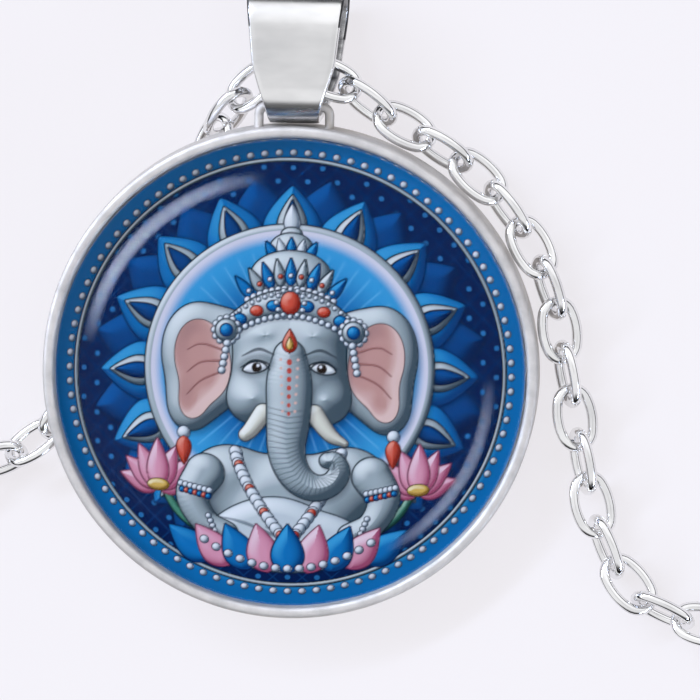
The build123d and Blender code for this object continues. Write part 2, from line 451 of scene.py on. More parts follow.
@dataclass
class OvalRing:
    """A closed ring of round wire, long in X and wide in Y, from four tangent arcs."""

    length: float
    width: float
    wire: float
    end_radius: float

    @property
    def half_width(self) -> float:
        """Half the width of the wire's centre line."""
        return (self.width - self.wire) / 2

    @property
    def end_centre(self) -> float:
        """Distance of an end's arc centre from the ring's middle."""
        return (self.length - self.wire) / 2 - self.end_radius

    @property
    def side_radius(self) -> float:
        """Radius of the long sides' arcs, which meet the end arcs in line with them."""
        squares = self.end_centre**2 + self.half_width**2 - self.end_radius**2
        return squares / (2 * (self.half_width - self.end_radius))

    @property
    def side_centre(self) -> float:
        """Distance of a long side's arc centre from the ring's middle."""
        return self.side_radius - self.half_width

    def rest_height(self, roll: float) -> float:
        """Height of a chain's line above the floor where every other link has this roll."""
        steepest = math.radians(max(abs(roll), 90 - abs(roll)))
        return self.half_width * math.sin(steepest) + self.wire / 2

    def centre_line(self, turn: float) -> tuple[Vector, Vector]:
        """Point on the wire's centre line and the outward direction there.

        Args:
            turn: The direction that the ring's side faces, in radians from +X.

        Returns:
            The point and the direction, both in the ring's plane.
        """
        facing = Vector((math.cos(turn), math.sin(turn), 0.0))
        if abs(facing.y) * self.end_centre < abs(facing.x) * self.side_centre:
            centre = Vector((math.copysign(self.end_centre, facing.x), 0.0, 0.0))
            return centre + self.end_radius * facing, facing
        centre = Vector((0.0, -math.copysign(self.side_centre, facing.y), 0.0))
        return centre + self.side_radius * facing, facing

    def even_turn(self, turn: float) -> float:
        """Spreads sections more evenly, as the short arcs turn more than the long ones.

        Args:
            turn: Where the section is on an even circle, in radians.

        Returns:
            The direction that it faces on this ring.
        """
        end_share = 0.62  # of a quarter's sections, for half the end's arc
        end_turn = math.atan2(self.side_centre, self.end_centre)
        quarter = math.pi / 2
        base = round(turn / math.pi) * math.pi
        share = abs(turn - base) / quarter
        if share < end_share:
            new = end_turn * share / end_share
        else:
            new = end_turn + (quarter - end_turn) * (share - end_share) / (1 - end_share)
        return base + math.copysign(new, turn - base)

    def build(self, name: str, around: int, sides: int) -> Piece:
        """Shapes a torus to the oval.

        Args:
            name: The piece's name.
            around: Sections round the ring.
            sides: Sides of the wire.

        Returns:
            The ring, in millimetres at the origin.
        """
        radius = 10.0  # of the torus, wide enough that its hole stays open
        ring = start(
            bpy.ops.mesh.primitive_torus_add,
            name,
            major_segments=around,
            minor_segments=sides,
            major_radius=radius,
            minor_radius=1.0,
        )
        for v in ring.data.vertices:
            point, facing = self.centre_line(self.even_turn(math.atan2(v.co.y, v.co.x)))
            place = point + facing * (v.co.xy.length - radius) * self.wire / 2
            v.co = (place.x, place.y, v.co.z * self.wire / 2)
        return ring


def chain_link() -> OvalRing:
    """One link of the chain."""
    return OvalRing(length=3.72, width=2.52, wire=0.56, end_radius=0.87)


@dataclass
class TraySizes:
    """The tray's and glass's sizes, as the CAD model has them, in millimetres."""

    glass_radius: float = 12.5
    glass_edge: float = 1.3
    glass_rise: float = 4.2
    glass_edge_round: float = 0.2
    print_thickness: float = 0.25
    print_margin: float = 0.1
    floor: float = 0.7
    wall: float = 0.6
    rim_round: float = 0.24
    foot_round: float = 0.4
    seat_clearance: float = 0.1
    layer_gap: float = 0.05
    ear_wire: float = 0.5
    ear_opening: float = 3.255
    ear_corner: float = 0.45
    ear_lift: float = 1.5
    hinge_clearance: float = 0.12
    bail_strap: float = 0.5

    @property
    def dome_radius(self) -> float:
        """Radius of the sphere that the glass's top is cut from."""
        return (self.glass_radius**2 + self.glass_rise**2) / (2 * self.glass_rise)

    @property
    def seat_radius(self) -> float:
        """Inside radius of the tray's wall."""
        return self.glass_radius + self.seat_clearance

    @property
    def radius(self) -> float:
        """Outside radius of the tray."""
        return self.seat_radius + self.wall

    @property
    def glass_base(self) -> float:
        """Height of the glass's underside, over the picture and the gaps round it."""
        return self.floor + self.print_thickness + 2 * self.layer_gap

    @property
    def height(self) -> float:
        """Height of the rim, level with the glass's upright edge."""
        return self.glass_base + self.glass_edge

    @property
    def ear_reach(self) -> float:
        """Distance of the ear's bar from the tray's middle."""
        return self.radius + self.bail_strap + 2 * self.hinge_clearance + self.ear_wire / 2


@dataclass
class Lean:
    """The tray's lean, where it rests on the strand of chain that passes under it.

    The heading is the bearing of the edge that stays on the floor, in degrees, and the
    offset is how far the strand lies beyond the tray's middle, in millimetres.
    """

    tray: TraySizes
    link: OvalRing = field(default_factory=chain_link)
    links_roll: float = 45.0
    heading: float = -31.0
    strand_offset: float = 9.0
    strand_clearance: float = 0.25

    @property
    def foot_radius(self) -> float:
        """Radius of the flat that the tray stands on."""
        return self.tray.radius - self.tray.foot_round

    @property
    def angle(self) -> float:
        """Lean in radians."""
        rise = 2 * self.link.rest_height(self.links_roll) + self.strand_clearance
        return math.atan2(rise, self.foot_radius + self.strand_offset)

    @property
    def floor_z(self) -> float:
        """Height of the surface that the necklace lies on."""
        return -self.foot_radius * math.sin(self.angle)

    @property
    def place(self) -> Matrix:
        """The turn from the upright tray to the leaning one."""
        turn = Matrix.Rotation(math.radians(self.heading), 4, "Z")
        return turn @ Matrix.Rotation(self.angle, 4, "Y") @ turn.inverted()


@dataclass
class Tray:
    """The cast metal cup with its rim and the wire ear that carries the bail."""

    sizes: TraySizes
    lean: Lean
    plating: Material
    facets: int = 192
    sharp_degrees: float = 40.0

    def cup(self) -> Piece:
        """Sinks the glass's seat into a disc and rounds its rim and foot."""
        s = self.sizes
        cup = start(
            bpy.ops.mesh.primitive_cylinder_add,
            "tray_cup",
            vertices=self.facets,
            radius=s.radius,
            depth=s.height,
            location=(0, 0, s.height / 2),
            end_fill_type="NGON",
        )
        cup.data.transform(cup.matrix_world)
        cup.matrix_world = Matrix.Identity(4)
        with editing(cup):
            choose(cup, Pick.FACE, lambda f: f.normal.z > FACES_UP)
            bpy.ops.mesh.inset(thickness=s.wall)
            extrude(s.floor - s.height)
            choose(cup, Pick.EDGE, self.along_rim)
            bpy.ops.mesh.bevel(offset=s.rim_round, segments=6, affect="EDGES")
            choose(cup, Pick.EDGE, lambda e: all(v.co.z < ON_LINE for v in e.verts))
            bpy.ops.mesh.bevel(offset=s.foot_round, segments=4, affect="EDGES")
        return cup

    def along_rim(self, edge: Any) -> bool:
        """Tells an edge that runs round the rim from one that crosses or leaves it."""
        a, b = (v.co.xy.length for v in edge.verts)
        high = all(v.co.z > self.sizes.height - ON_LINE for v in edge.verts)
        return high and abs(a - b) < ON_LINE

    def ear(self) -> Piece:
        """Bends a wire to a square loop, its legs sunk in the tray's wall."""
        s = self.sizes
        side = (s.ear_opening + s.ear_wire) / 2
        root = s.seat_radius + s.wall / 2
        loop = start(bpy.ops.mesh.primitive_plane_add, "tray_ear", size=2)
        for v in loop.data.vertices:
            v.co = (side * v.co.x, s.ear_reach if v.co.y > 0 else root, s.ear_lift)
        with editing(loop):
            choose(loop, Pick.FACE, lambda f: True)
            bpy.ops.mesh.delete(type="ONLY_FACE")
            choose(loop, Pick.EDGE, lambda e: all(v.co.y < root + ON_LINE for v in e.verts))
            bpy.ops.mesh.delete(type="EDGE")
            choose(loop, Pick.VERTEX, lambda v: v.co.y > root + ON_LINE)
            bpy.ops.mesh.bevel(offset=s.ear_corner, segments=8, affect="VERTICES")
        take(loop)
        bpy.ops.object.convert(target="CURVE")
        loop.data.bevel_depth = s.ear_wire / 2
        loop.data.bevel_resolution = 5
        loop.data.use_fill_caps = True
        bpy.ops.object.convert(target="MESH")
        return bpy.context.active_object

    def build(self) -> list[Piece]:
        """Makes the cup and ear one piece."""
        tray = self.cup()
        join(tray, self.ear())
        outward(tray)
        soften(tray, self.sharp_degrees)
        tray.name = "silver_tray"
        return [settle(tray, self.lean.place, self.plating, "plated_casting", "tray")]


@dataclass
class GlassDome:
    """The clear glass with its flat underside and domed top."""

    sizes: TraySizes
    lean: Lean
    glass: Material
    facets: int = 192
    sharp_degrees: float = 50.0

    def build(self) -> list[Piece]:
        """Cuts a cap from a sphere and draws its edge down to the flat underside."""
        s = self.sizes
        dome = start(
            bpy.ops.mesh.primitive_uv_sphere_add,
            "clear_glass_dome",
            segments=self.facets,
            ring_count=self.facets,
            radius=s.dome_radius,
        )
        middle = s.height + s.glass_rise - s.dome_radius
        dome.data.transform(Matrix.Translation((0, 0, middle)))
        with editing(dome):
            bpy.ops.mesh.select_all(action="SELECT")
            bpy.ops.mesh.bisect(plane_co=(0, 0, s.height), plane_no=(0, 0, 1), clear_inner=True)
            choose(dome, Pick.EDGE, lambda e: e.is_boundary)
            extrude(-s.glass_edge)
            bpy.ops.mesh.edge_face_add()
            choose(dome, Pick.EDGE, self.is_corner)
            bpy.ops.mesh.bevel(offset=s.glass_edge_round, segments=5, affect="EDGES")
        outward(dome)
        soften(dome, self.sharp_degrees)
        return [settle(dome, self.lean.place, self.glass, "clear_glass", "glass_dome")]

    def is_corner(self, edge: Any) -> bool:
        """Tells an edge round the glass where its side meets the dome or the base."""
        corners = (self.sizes.height, self.sizes.glass_base)
        return any(all(abs(v.co.z - z) < ON_LINE for v in edge.verts) for z in corners)


Field = np.ndarray
Shape = Callable[[Field, Field], Field]


@dataclass(frozen=True)
class Ink:
    """The tones of one printed colour: lit, middle and shaded, with its outline."""

    light: str
    middle: str
    shade: str
    line: str
    line_mm: float = 0.07


class Inks(Enum):
    """The colours of the print, as a painter of devotional cards mixes them."""

    SILVER = Ink("EFF4F2", "A9B5B7", "46565F", "16222E")
    PEARL = Ink("FFFFFF", "DCE3E6", "6A7884", "1A2A40", 0.05)
    AZURE = Ink("3FA8DC", "1277B8", "063F78", "021F48")
    DEEP = Ink("0B5FA6", "064481", "03224E", "01122E")
    PINK = Ink("FBE0E6", "E79DB2", "A94E6E", "6A2A44", 0.06)
    CORAL = Ink("F6A08A", "D5523C", "8A241B", "4A120E", 0.05)
    SHELL = Ink("E9C6BC", "C9988F", "80605F", "4A3436", 0.05)
    IVORY = Ink("FFFFF6", "E4E0CF", "8C8A80", "33383C", 0.06)
    CLOTH = Ink("FAFDFD", "CDD6D8", "76858D", "26323C")
    EYE = Ink("FFFFFF", "F4F4F0", "B8BEC2", "10171F", 0.08)
    VEIN = Ink("B98078", "A56E66", "7A4A46", "5A3A3A", 0.0)
    STEM = Ink("A9D3B8", "4E8F74", "1E4A3C", "0A2A22")
    GOLD = Ink("FFF0C0", "E0B85A", "8A6420", "3A2A10", 0.05)


def oval(cx: float, cy: float, rx: float, ry: float | None = None, turn: float = 0.0) -> Shape:
    """A filled oval.

    Every shape gives the distance to its edge in millimetres, less than 0 inside.
    """
    ry = ry or rx
    c, s = math.cos(math.radians(turn)), math.sin(math.radians(turn))

    def shape(x: Field, y: Field) -> Field:
        u, v = (x - cx) * c + (y - cy) * s, (y - cy) * c - (x - cx) * s
        near = np.hypot(u / rx, v / ry) + 1e-9
        return near * (near - 1) / (np.hypot(u / rx**2, v / ry**2) + 1e-9)

    return shape


def stroke(rows: list[Row]) -> Shape:
    """A brush stroke through rows of x, y and half its width."""

    def shape(x: Field, y: Field) -> Field:
        best = np.full_like(x, 1e3)
        for (ax, ay, ar), (bx, by, br) in zip(rows, rows[1:]):
            dx, dy = bx - ax, by - ay
            t = np.clip(((x - ax) * dx + (y - ay) * dy) / (dx * dx + dy * dy), 0, 1)
            off = np.hypot(x - ax - t * dx, y - ay - t * dy)
            best = np.minimum(best, off - ar - t * (br - ar))
        return best

    return shape


def smooth(rows: list[Row], per: int = 7) -> list[Row]:
    """Rows along a smooth curve through the given ones.

    Args:
        rows: The rows that the curve goes through.
        per: How many rows each span between two of them gets.

    Returns:
        The curve's rows.
    """
    p = np.array(rows, dtype=float)
    p = np.vstack([2 * p[0] - p[1], p, 2 * p[-1] - p[-2]])
    out = []
    for i in range(1, len(p) - 2):
        a, b, c, d = p[i - 1 : i + 3]
        bend, twist = 2 * a - 5 * b + 4 * c - d, 3 * b - a - 3 * c + d
        for t in np.arange(per) / per:
            out.append(0.5 * (2 * b + (c - a) * t + bend * t * t + twist * t**3))
    return [tuple(row) for row in (*out, p[-2])]


def curve(*rows: Row, side: int = 1) -> Shape:
    """A smooth brush stroke, mirrored to the left where the side is -1."""
    return stroke(smooth([(side * x, y, half) for x, y, half in rows]))


def petal(length: float, width: float) -> Shape:
    """A pointed petal from the origin along +Y."""

    def shape(x: Field, y: Field) -> Field:
        t = np.clip(y / length, 0, 1)
        half = width / 2 * np.sin(math.pi * t**0.75) ** 0.8 * (1 - 0.25 * t**1.6)
        return np.maximum((np.abs(x) - half) * 0.85, np.maximum(-y, y - length))

    return shape


def band(inner: float, outer: float) -> Shape:
    """A flat ring round the middle."""
    return lambda x, y: np.maximum(inner - np.hypot(x, y), np.hypot(x, y) - outer)


def moved(shape: Shape, cx: float, cy: float, turn: float = 0.0) -> Shape:
    """A shape turned, in degrees, and then moved."""
    c, s = math.cos(math.radians(turn)), math.sin(math.radians(turn))
    return lambda x, y: shape((x - cx) * c + (y - cy) * s, (y - cy) * c - (x - cx) * s)


def around(shape: Shape, count: int, radius: float, phase: float = 0.0) -> Shape:
    """Copies of a shape round the middle, each with +Y outwards."""
    step = 2 * math.pi / count

    def shape_around(x: Field, y: Field) -> Field:
        turn = (np.arctan2(x, y) + math.radians(phase) + step / 2) % step - step / 2
        far = np.hypot(x, y)
        return shape(far * np.sin(turn), far * np.cos(turn) - radius)

    return shape_around


def paired(shape: Shape) -> Shape:
    """A shape on the right and its mirror image on the left."""
    return lambda x, y: shape(np.abs(x), y)


def within(shape: Shape, limit: Shape) -> Shape:
    """The part of a shape inside another."""
    return lambda x, y: np.maximum(shape(x, y), limit(x, y))


def joined(*shapes: Shape, blend: float) -> Shape:
    """Shapes run together, with soft hollows this wide between them."""

    def shape(x: Field, y: Field) -> Field:
        d = shapes[0](x, y)
        for other in shapes[1:]:
            e = other(x, y)
            h = np.clip(0.5 + 0.5 * (e - d) / blend, 0, 1)
            d = e + (d - e) * h - blend * h * (1 - h)
        return d

    return shape


@dataclass
class InkPlate:
    """Lays shapes over each other in ink, each shaded as a soft raised form.

    The shadow's shift, blur and reach are shares of its length.

    Attributes:
        x: How far right of the middle each place on the plate lies, in millimetres.
        y: How far up from the middle it lies.
        soft: Width of a sharp edge in millimetres, about the distance between places.
        lamp: Direction of the light.
    """

    x: Field
    y: Field
    soft: float
    lamp: Row = (-0.447, 0.546, 0.709)
    margin_mm: float = 0.2  # how far past a shape's edge its ink and soft edge reach
    full_light: float = 0.30  # gain in light at which the lit tone is reached
    full_shade: float = 0.62  # loss in light at which the shaded tone is reached
    shadow_colour: str = "03122C"
    shadow_shift: Row = (0.22, -0.28)
    shadow_blur: float = 0.5
    shadow_reach: float = 0.6
    shadow_strength: float = 0.5
    probe_mm: float = 0.02

    def __post_init__(self) -> None:
        """Starts with a black plate."""
        self.colour = np.zeros((len(self.x), 3))

    @staticmethod
    def tone(colour: str) -> np.ndarray:
        """A linear colour without alpha."""
        return np.array(linear(colour)[:3])

    def wash(self, shape: Shape, colour: str, strength: float = 1.0, blur: float = 0.0) -> None:
        """Covers a shape with one flat colour.

        Args:
            shape: The shape.
            colour: Its sRGB colour.
            strength: From 0, clear, to 1, opaque.
            blur: Width of its soft edge in millimetres, or 0 for a sharp one.
        """
        cover = np.clip(0.5 - shape(self.x, self.y) / max(self.soft, blur), 0, 1) * strength
        if blur:
            cover = cover * cover * (3 - 2 * cover)
        self.colour += (self.tone(colour) - self.colour) * cover[:, None]

    @staticmethod
    def height(distance: Field, width: float) -> Field:
        """Height of a form that is rounded over this width along its edge."""
        inward = np.clip(-distance / width, 0, 1)
        return width * np.sqrt(np.clip(1 - (1 - inward) ** 2, 0, 1))

    def shadow(self, shape: Shape, x: Field, y: Field, length: float) -> Field:
        """Strength of the shadow that a shape casts at some places, from 0 to 1."""
        across, up = (part * length for part in self.shadow_shift)
        reach = shape(x - across, y - up) / (self.shadow_blur * length)
        return np.clip(0.5 - reach, 0, 1) * self.shadow_strength

    def lay(
        self, shape: Shape, name: Inks, width: float = 0.6, depth: float = 1.0, cast: float = 0.0
    ) -> None:
        """Paints a shape as a form with a lit and a shaded side.

        Args:
            shape: The shape.
            name: Its ink.
            width: How far the form is rounded in from its edge, in millimetres.
            depth: Strength of the shading, below 0 for a hollow.
            cast: Length of its shadow on what is behind it.
        """
        ink = name.value
        reach = shape(self.x, self.y)
        near = np.flatnonzero(reach < self.margin_mm + self.shadow_reach * cast)
        x, y, d, under = self.x[near], self.y[near], reach[near], self.colour[near]
        if cast:
            dark = self.shadow(shape, x, y, cast)
            under = under + (self.tone(self.shadow_colour) - under) * dark[:, None]
        h = self.height(d, width)
        slope_x = (self.height(shape(x + self.probe_mm, y), width) - h) / self.probe_mm
        slope_y = (self.height(shape(x, y + self.probe_mm), width) - h) / self.probe_mm
        normal = np.stack([-slope_x, -slope_y, np.ones_like(h)], 1)
        lit = ((normal @ self.lamp) / np.linalg.norm(normal, axis=1) - self.lamp[2]) * depth
        light, middle, shade = (self.tone(c) for c in (ink.light, ink.middle, ink.shade))
        tone = middle + (light - middle) * np.clip(lit / self.full_light, 0, 1)[:, None]
        tone += (shade - middle) * np.clip(-lit / self.full_shade, 0, 1)[:, None]
        edge = np.clip(0.5 - (d - ink.line_mm) / self.soft, 0, 1)[:, None]
        cover = np.clip(0.5 - d / self.soft, 0, 1)[:, None]
        under = under + (self.tone(ink.line) - under) * edge
        self.colour[near] = under * (1 - cover) + tone * cover

    def beads(self, name: Inks, places: list[Row]) -> None:
        """Paints round beads at rows of x, y and radius."""
        for x, y, radius in places:
            self.lay(oval(x, y, radius), name, radius)


@dataclass
class LotusEmblem:
    """A plain devotional emblem: an elephant-headed figure on a lotus, in a ring of petals."""

    plate: InkPlate
    petals: int = 16
    border_beads: int = 96
    halo_radius: float = 7.15
    halo_y: float = 0.3
    halo_rays: int = 48
    lattice_mm: float = 1.5
    paper_white: float = 0.51

    def ground(self) -> None:
        """Deep blue with a paler middle and a faint lattice with dots."""

        def lattice(x: Field, y: Field) -> Field:
            u, v = (x + y) / self.lattice_mm, (x - y) / self.lattice_mm
            return np.minimum(abs(u % 1 - 0.5), abs(v % 1 - 0.5)) - 0.03

        def dots(x: Field, y: Field) -> Field:
            u, v = (x + y) / self.lattice_mm, (x - y) / self.lattice_mm
            return np.hypot((u + 0.5) % 1 - 0.5, (v + 0.5) % 1 - 0.5) * 1.06 - 0.14

        p = self.plate
        p.wash(oval(0, 0, 30), "031E4C")
        p.wash(oval(0, 0, 7), "084C8C", 0.9, 7.0)
        p.wash(lattice, "0E4F90", 0.5)
        p.wash(dots, "2C7CBC", 0.8)

    def border(self) -> None:
        """Azure rim with a row of pearls outside a silver line."""
        p = self.plate
        p.lay(band(10.95, 13.0), Inks.AZURE, 0.4, 0.6)
        p.lay(around(oval(0, 0, 0.17), self.border_beads, 11.36), Inks.PEARL, 0.17)
        p.lay(band(10.88, 11.05), Inks.SILVER, 0.09)

    def lotus_ring(self) -> None:
        """Two rows of large petals round the halo."""
        p, half_step = self.plate, 180 / self.petals
        p.lay(around(petal(3.7, 3.3), self.petals, 6.3, half_step), Inks.DEEP, 0.9, 0.9, 0.6)
        p.lay(around(petal(3.5, 3.0), self.petals, 6.0), Inks.AZURE, 0.9, 0.9, 0.6)
        p.lay(around(petal(2.5, 1.5), self.petals, 6.5), Inks.SILVER, 0.5, 0.8)
        p.lay(around(petal(1.9, 0.75), self.petals, 6.8), Inks.DEEP, 0.3)

    def halo(self) -> None:
        """Silver-rimmed disc, white at its edge and then azure to blue, with fine rays."""
        p, y0 = self.plate, self.halo_y
        p.lay(oval(0, y0, self.halo_radius), Inks.SILVER, 0.25, 1.0, 0.7)
        p.wash(oval(0, y0, self.halo_radius - 0.3), "E2DDE8")
        p.wash(oval(0, y0, 6.45), "3AA0D6", 1.0, 0.7)
        p.wash(oval(0, y0, 4.6), "0A5A9C", 1.0, 3.2)

        def rays(x: Field, y: Field) -> Field:
            far = np.hypot(x, y - y0)
            turn = np.arctan2(x, y - y0) / (2 * math.pi) * self.halo_rays
            return np.maximum((abs(turn % 1 - 0.5) * 0.5 - 0.03) * far / 6, far - 5.9)

        p.wash(rays, "74C2E8", 0.45)

    def side_flowers(self) -> None:
        """A pink lotus on its stem at each side."""
        p = self.plate
        for side in (-1, 1):
            stem = curve((3.0, -8.6, 0.2), (5.2, -7.4, 0.18), (6.4, -5.6, 0.16), side=side)
            p.lay(stem, Inks.STEM, 0.18, 1.0, 0.4)
            for turn in (-72, 72, -48, 48, -24, 24, 0):
                leaf = petal(2.5 - abs(turn) * 0.006, 1.15)
                p.lay(moved(leaf, side * 6.5, -5.9, -turn), Inks.PINK, 0.4, 0.9)
            p.lay(oval(side * 6.5, -5.75, 0.55, 0.3), Inks.GOLD, 0.25)

    def body(self) -> None:
        """Chest, and white cloth with its folds."""
        p = self.plate
        shoulders, chest = paired(oval(3.1, -5.2, 1.9, 1.6, -20)), oval(0, -6.6, 3.4, 2.7)
        p.lay(joined(shoulders, chest, blend=1.0), Inks.SILVER, 1.6, 0.9, 0.8)
        right_knee, left_knee = oval(-1.4, -8.6, 3.2, 2.3, 24), oval(1.6, -9.0, 3.0, 2.1, -20)
        cloth = within(joined(right_knee, left_knee, blend=0.6), oval(0, -7.9, 4.4, 2.3))
        p.lay(cloth, Inks.CLOTH, 0.9, 1.0, 0.5)
        for k in range(6):
            fold = curve(
                (-3.6 + 0.5 * k, -7.2 - 0.1 * k, 0.03),
                (-1.8 + 0.5 * k, -7.6 - 0.25 * k, 0.06),
                (0.8 + 0.3 * k, -9.0 - 0.1 * k, 0.03),
            )
            p.wash(within(fold, cloth), "7C8890", 0.7)

    def arms(self) -> None:
        """Folded arms with beaded bands."""
        p = self.plate
        rows = ((4.1, -5.0, 0.95), (4.75, -6.2, 0.8), (4.2, -7.5, 0.66), (3.1, -8.1, 0.6))
        for side in (-1, 1):
            p.lay(curve(*rows, side=side), Inks.SILVER, 0.8, 1.0, 0.6)
            for k in range(-3, 4):
                low = 0.05 * k * side
                stone = Inks.AZURE if k % 2 else Inks.CORAL
                p.beads(Inks.PEARL, [(side * 4.6 + 0.24 * k, -5.75 + low, 0.14)])
                p.beads(stone, [(side * 4.6 + 0.22 * k, -6.05 + low, 0.12)])
            bangle = [(side * (3.75 + 0.1 * k), -7.75 + 0.26 * k, 0.13) for k in range(-2, 3)]
            p.beads(Inks.PEARL, bangle)

    def garland(self) -> None:
        """Garland of white flowers with coral ones between, and its pendant."""
        p, flowers = self.plate, 15
        for k in range(flowers):
            t = k / (flowers - 1)
            for side in (-1, 1):
                x, y = side * (2.55 - 2.2 * t**1.4), -3.9 - 4.2 * t
                p.lay(oval(x, y, 0.34, 0.27, side * 50), Inks.PEARL, 0.25, 1.0, 0.15)
                if k % 4 == 2:
                    p.beads(Inks.CORAL, [(x, y, 0.2)])
        p.lay(moved(petal(1.3, 0.9), 0, -7.9, 180), Inks.PEARL, 0.3)

    def ears(self) -> None:
        """Large ears with shell-pink hollows."""
        p = self.plate
        upper, lower = oval(4.2, 0.7, 2.05, 2.75, -12), oval(4.6, -1.0, 1.35, 1.9, 14)
        ear = joined(upper, lower, oval(3.2, 0.9, 1.8, 2.2), blend=0.6)
        p.lay(paired(ear), Inks.SILVER, 0.9, 1.0, 0.8)
        upper, lower = oval(4.25, 0.6, 1.35, 2.0, -12), oval(4.55, -1.0, 0.8, 1.3, 14)
        p.lay(paired(joined(upper, lower, blend=0.5)), Inks.SHELL, 0.8, -0.7)
        for k in range(3):
            vein = curve(
                (3.2, 1.1 - 0.5 * k, 0.05), (4.3, 1.4 - 0.9 * k, 0.04), (5.0, 1.1 - 1.1 * k, 0.02)
            )
            p.lay(paired(vein), Inks.VEIN, 0.05)

    def head(self) -> None:
        """Brow, cheeks and tusks."""
        p = self.plate
        brows, cheeks = paired(oval(1.15, 1.9, 1.55, 1.35)), paired(oval(1.75, -1.2, 1.25, 1.2))
        skull = joined(oval(0, 0.3, 2.75, 2.9), brows, cheeks, blend=0.7)
        p.lay(skull, Inks.SILVER, 1.9, 1.0, 0.8)
        whole_tusk = curve((1.25, -1.9, 0.42), (2.0, -2.9, 0.33), (2.75, -3.35, 0.14))
        p.lay(whole_tusk, Inks.IVORY, 0.4, 1.0, 0.4)
        broken_tusk = curve((-1.25, -1.9, 0.42), (-1.8, -2.7, 0.36), (-2.1, -3.0, 0.3))
        p.lay(broken_tusk, Inks.IVORY, 0.4, 1.0, 0.4)

    def trunk(self) -> None:
        """The trunk, curled to the right, with wrinkles across it."""
        p = self.plate
        rows = [
            (0, 0.9, 0.75),
            (0, -0.3, 1.05),
            (0, -1.5, 1.05),
            (-0.05, -2.6, 0.98),
            (-0.1, -3.6, 0.88),
            (0.1, -4.5, 0.8),
            (0.6, -5.25, 0.72),
            (1.35, -5.6, 0.64),
            (2.1, -5.4, 0.56),
            (2.5, -4.8, 0.5),
            (2.3, -4.25, 0.42),
            (1.9, -4.2, 0.36),
        ]
        p.lay(curve(*rows), Inks.SILVER, 0.95, 1.0, 0.7)
        line = smooth(rows, 4)
        wrinkled = list(zip(line, line[1:]))[9:-2]  # from between the tusks to near the tip
        for here, there in wrinkled:
            p.wash(self.wrinkle(here, there), "3F4D56", 0.6)

    @staticmethod
    def wrinkle(here: Row, there: Row) -> Shape:
        """A thin arc across the trunk, at one row of its line, bowed towards the next."""
        x, y, half = here
        long = math.hypot(there[0] - x, there[1] - y)
        tx, ty = (there[0] - x) / long, (there[1] - y) / long
        side_x, side_y, back_x, back_y = ty * half * 0.96, tx * half * 0.96, tx * 0.12, ty * 0.12
        return stroke(
            [
                (x - side_x - back_x, y + side_y - back_y, 0.02),
                (x + tx * 0.06, y + ty * 0.06, 0.035),
                (x + side_x - back_x, y - side_y - back_y, 0.02),
            ]
        )

    def eyes(self) -> None:
        """Calm, half-closed eyes under long brows."""
        p = self.plate
        lash = ((0.95, 0.22, 0.03), (1.3, 0.56, 0.07), (1.8, 0.6, 0.08), (2.35, 0.28, 0.03))
        brow = ((0.75, 0.95, 0.04), (1.5, 1.2, 0.08), (2.3, 0.85, 0.03))
        for side in (-1, 1):
            p.wash(oval(side * 1.6, 0.42, 0.95, 0.62, side * -14), "56626A", 0.55, 0.35)
            almond = within(oval(0, -0.16, 0.66, 0.42), oval(0, 0.18, 0.7, 0.4))
            eye = moved(almond, side * 1.62, 0.3, side * -12)
            p.lay(eye, Inks.EYE, 0.2)
            p.wash(within(oval(side * 1.58, 0.3, 0.25), eye), "241812")
            p.wash(oval(side * 1.52, 0.4, 0.07), "FFFFFF")
            p.wash(curve(*lash, side=side), "18222B", 0.95)
            p.wash(curve(*brow, side=side), "2A3640", 0.8)

    def brow_mark(self) -> None:
        """Coral drop on the brow, with a line of dots down the trunk."""
        p = self.plate
        p.lay(moved(petal(1.15, 0.7), 0, 1.05), Inks.CORAL, 0.25)
        p.lay(moved(petal(0.6, 0.3), 0, 1.2), Inks.GOLD, 0.12)
        for k in range(7):
            y = 0.6 - 0.42 * k
            p.wash(oval(0, y, 0.13 - 0.008 * k, 0.15 - 0.008 * k), "C8402F", 0.95)
            p.wash(paired(oval(0.42 - 0.02 * k, y + 0.12, 0.07)), "F0B8A8", 0.9)

    def crown(self) -> None:
        """Tiers of silver with pearls and small stones."""
        p = self.plate
        p.lay(moved(petal(1.5, 0.8), 0, 7.0), Inks.PEARL, 0.35, 1.0, 0.4)
        p.lay(oval(0, 6.95, 0.5, 0.34), Inks.SILVER, 0.3)
        p.lay(oval(0, 6.2, 1.05, 0.8), Inks.SILVER, 0.7, 1.0, 0.4)
        for k in range(-2, 3):
            leaf = moved(petal(0.85, 0.42), k * 0.42, 5.9 - 0.03 * k * k, -k * 14)
            p.lay(leaf, Inks.PEARL if k % 2 else Inks.AZURE, 0.2)
        p.beads(Inks.PEARL, [(k * 0.28, 5.78 - 0.012 * k * k, 0.13) for k in range(-4, 5)])
        p.lay(oval(0, 4.85, 1.95, 1.25), Inks.SILVER, 1.0, 1.0, 0.4)
        for k in range(-4, 5):
            leaf = moved(petal(1.35, 0.5), k * 0.46, 4.35 - 0.04 * k * k, -k * 10)
            p.lay(leaf, Inks.SILVER if k % 2 else Inks.AZURE, 0.22, 1.0, 0.15)
            stone = Inks.CORAL if k % 2 else Inks.PEARL
            p.beads(stone, [(k * 0.51, 4.85 - 0.05 * k * k, 0.1)])
        p.beads(Inks.PEARL, [(k * 0.3, 4.2 - 0.012 * k * k, 0.14) for k in range(-7, 8)])

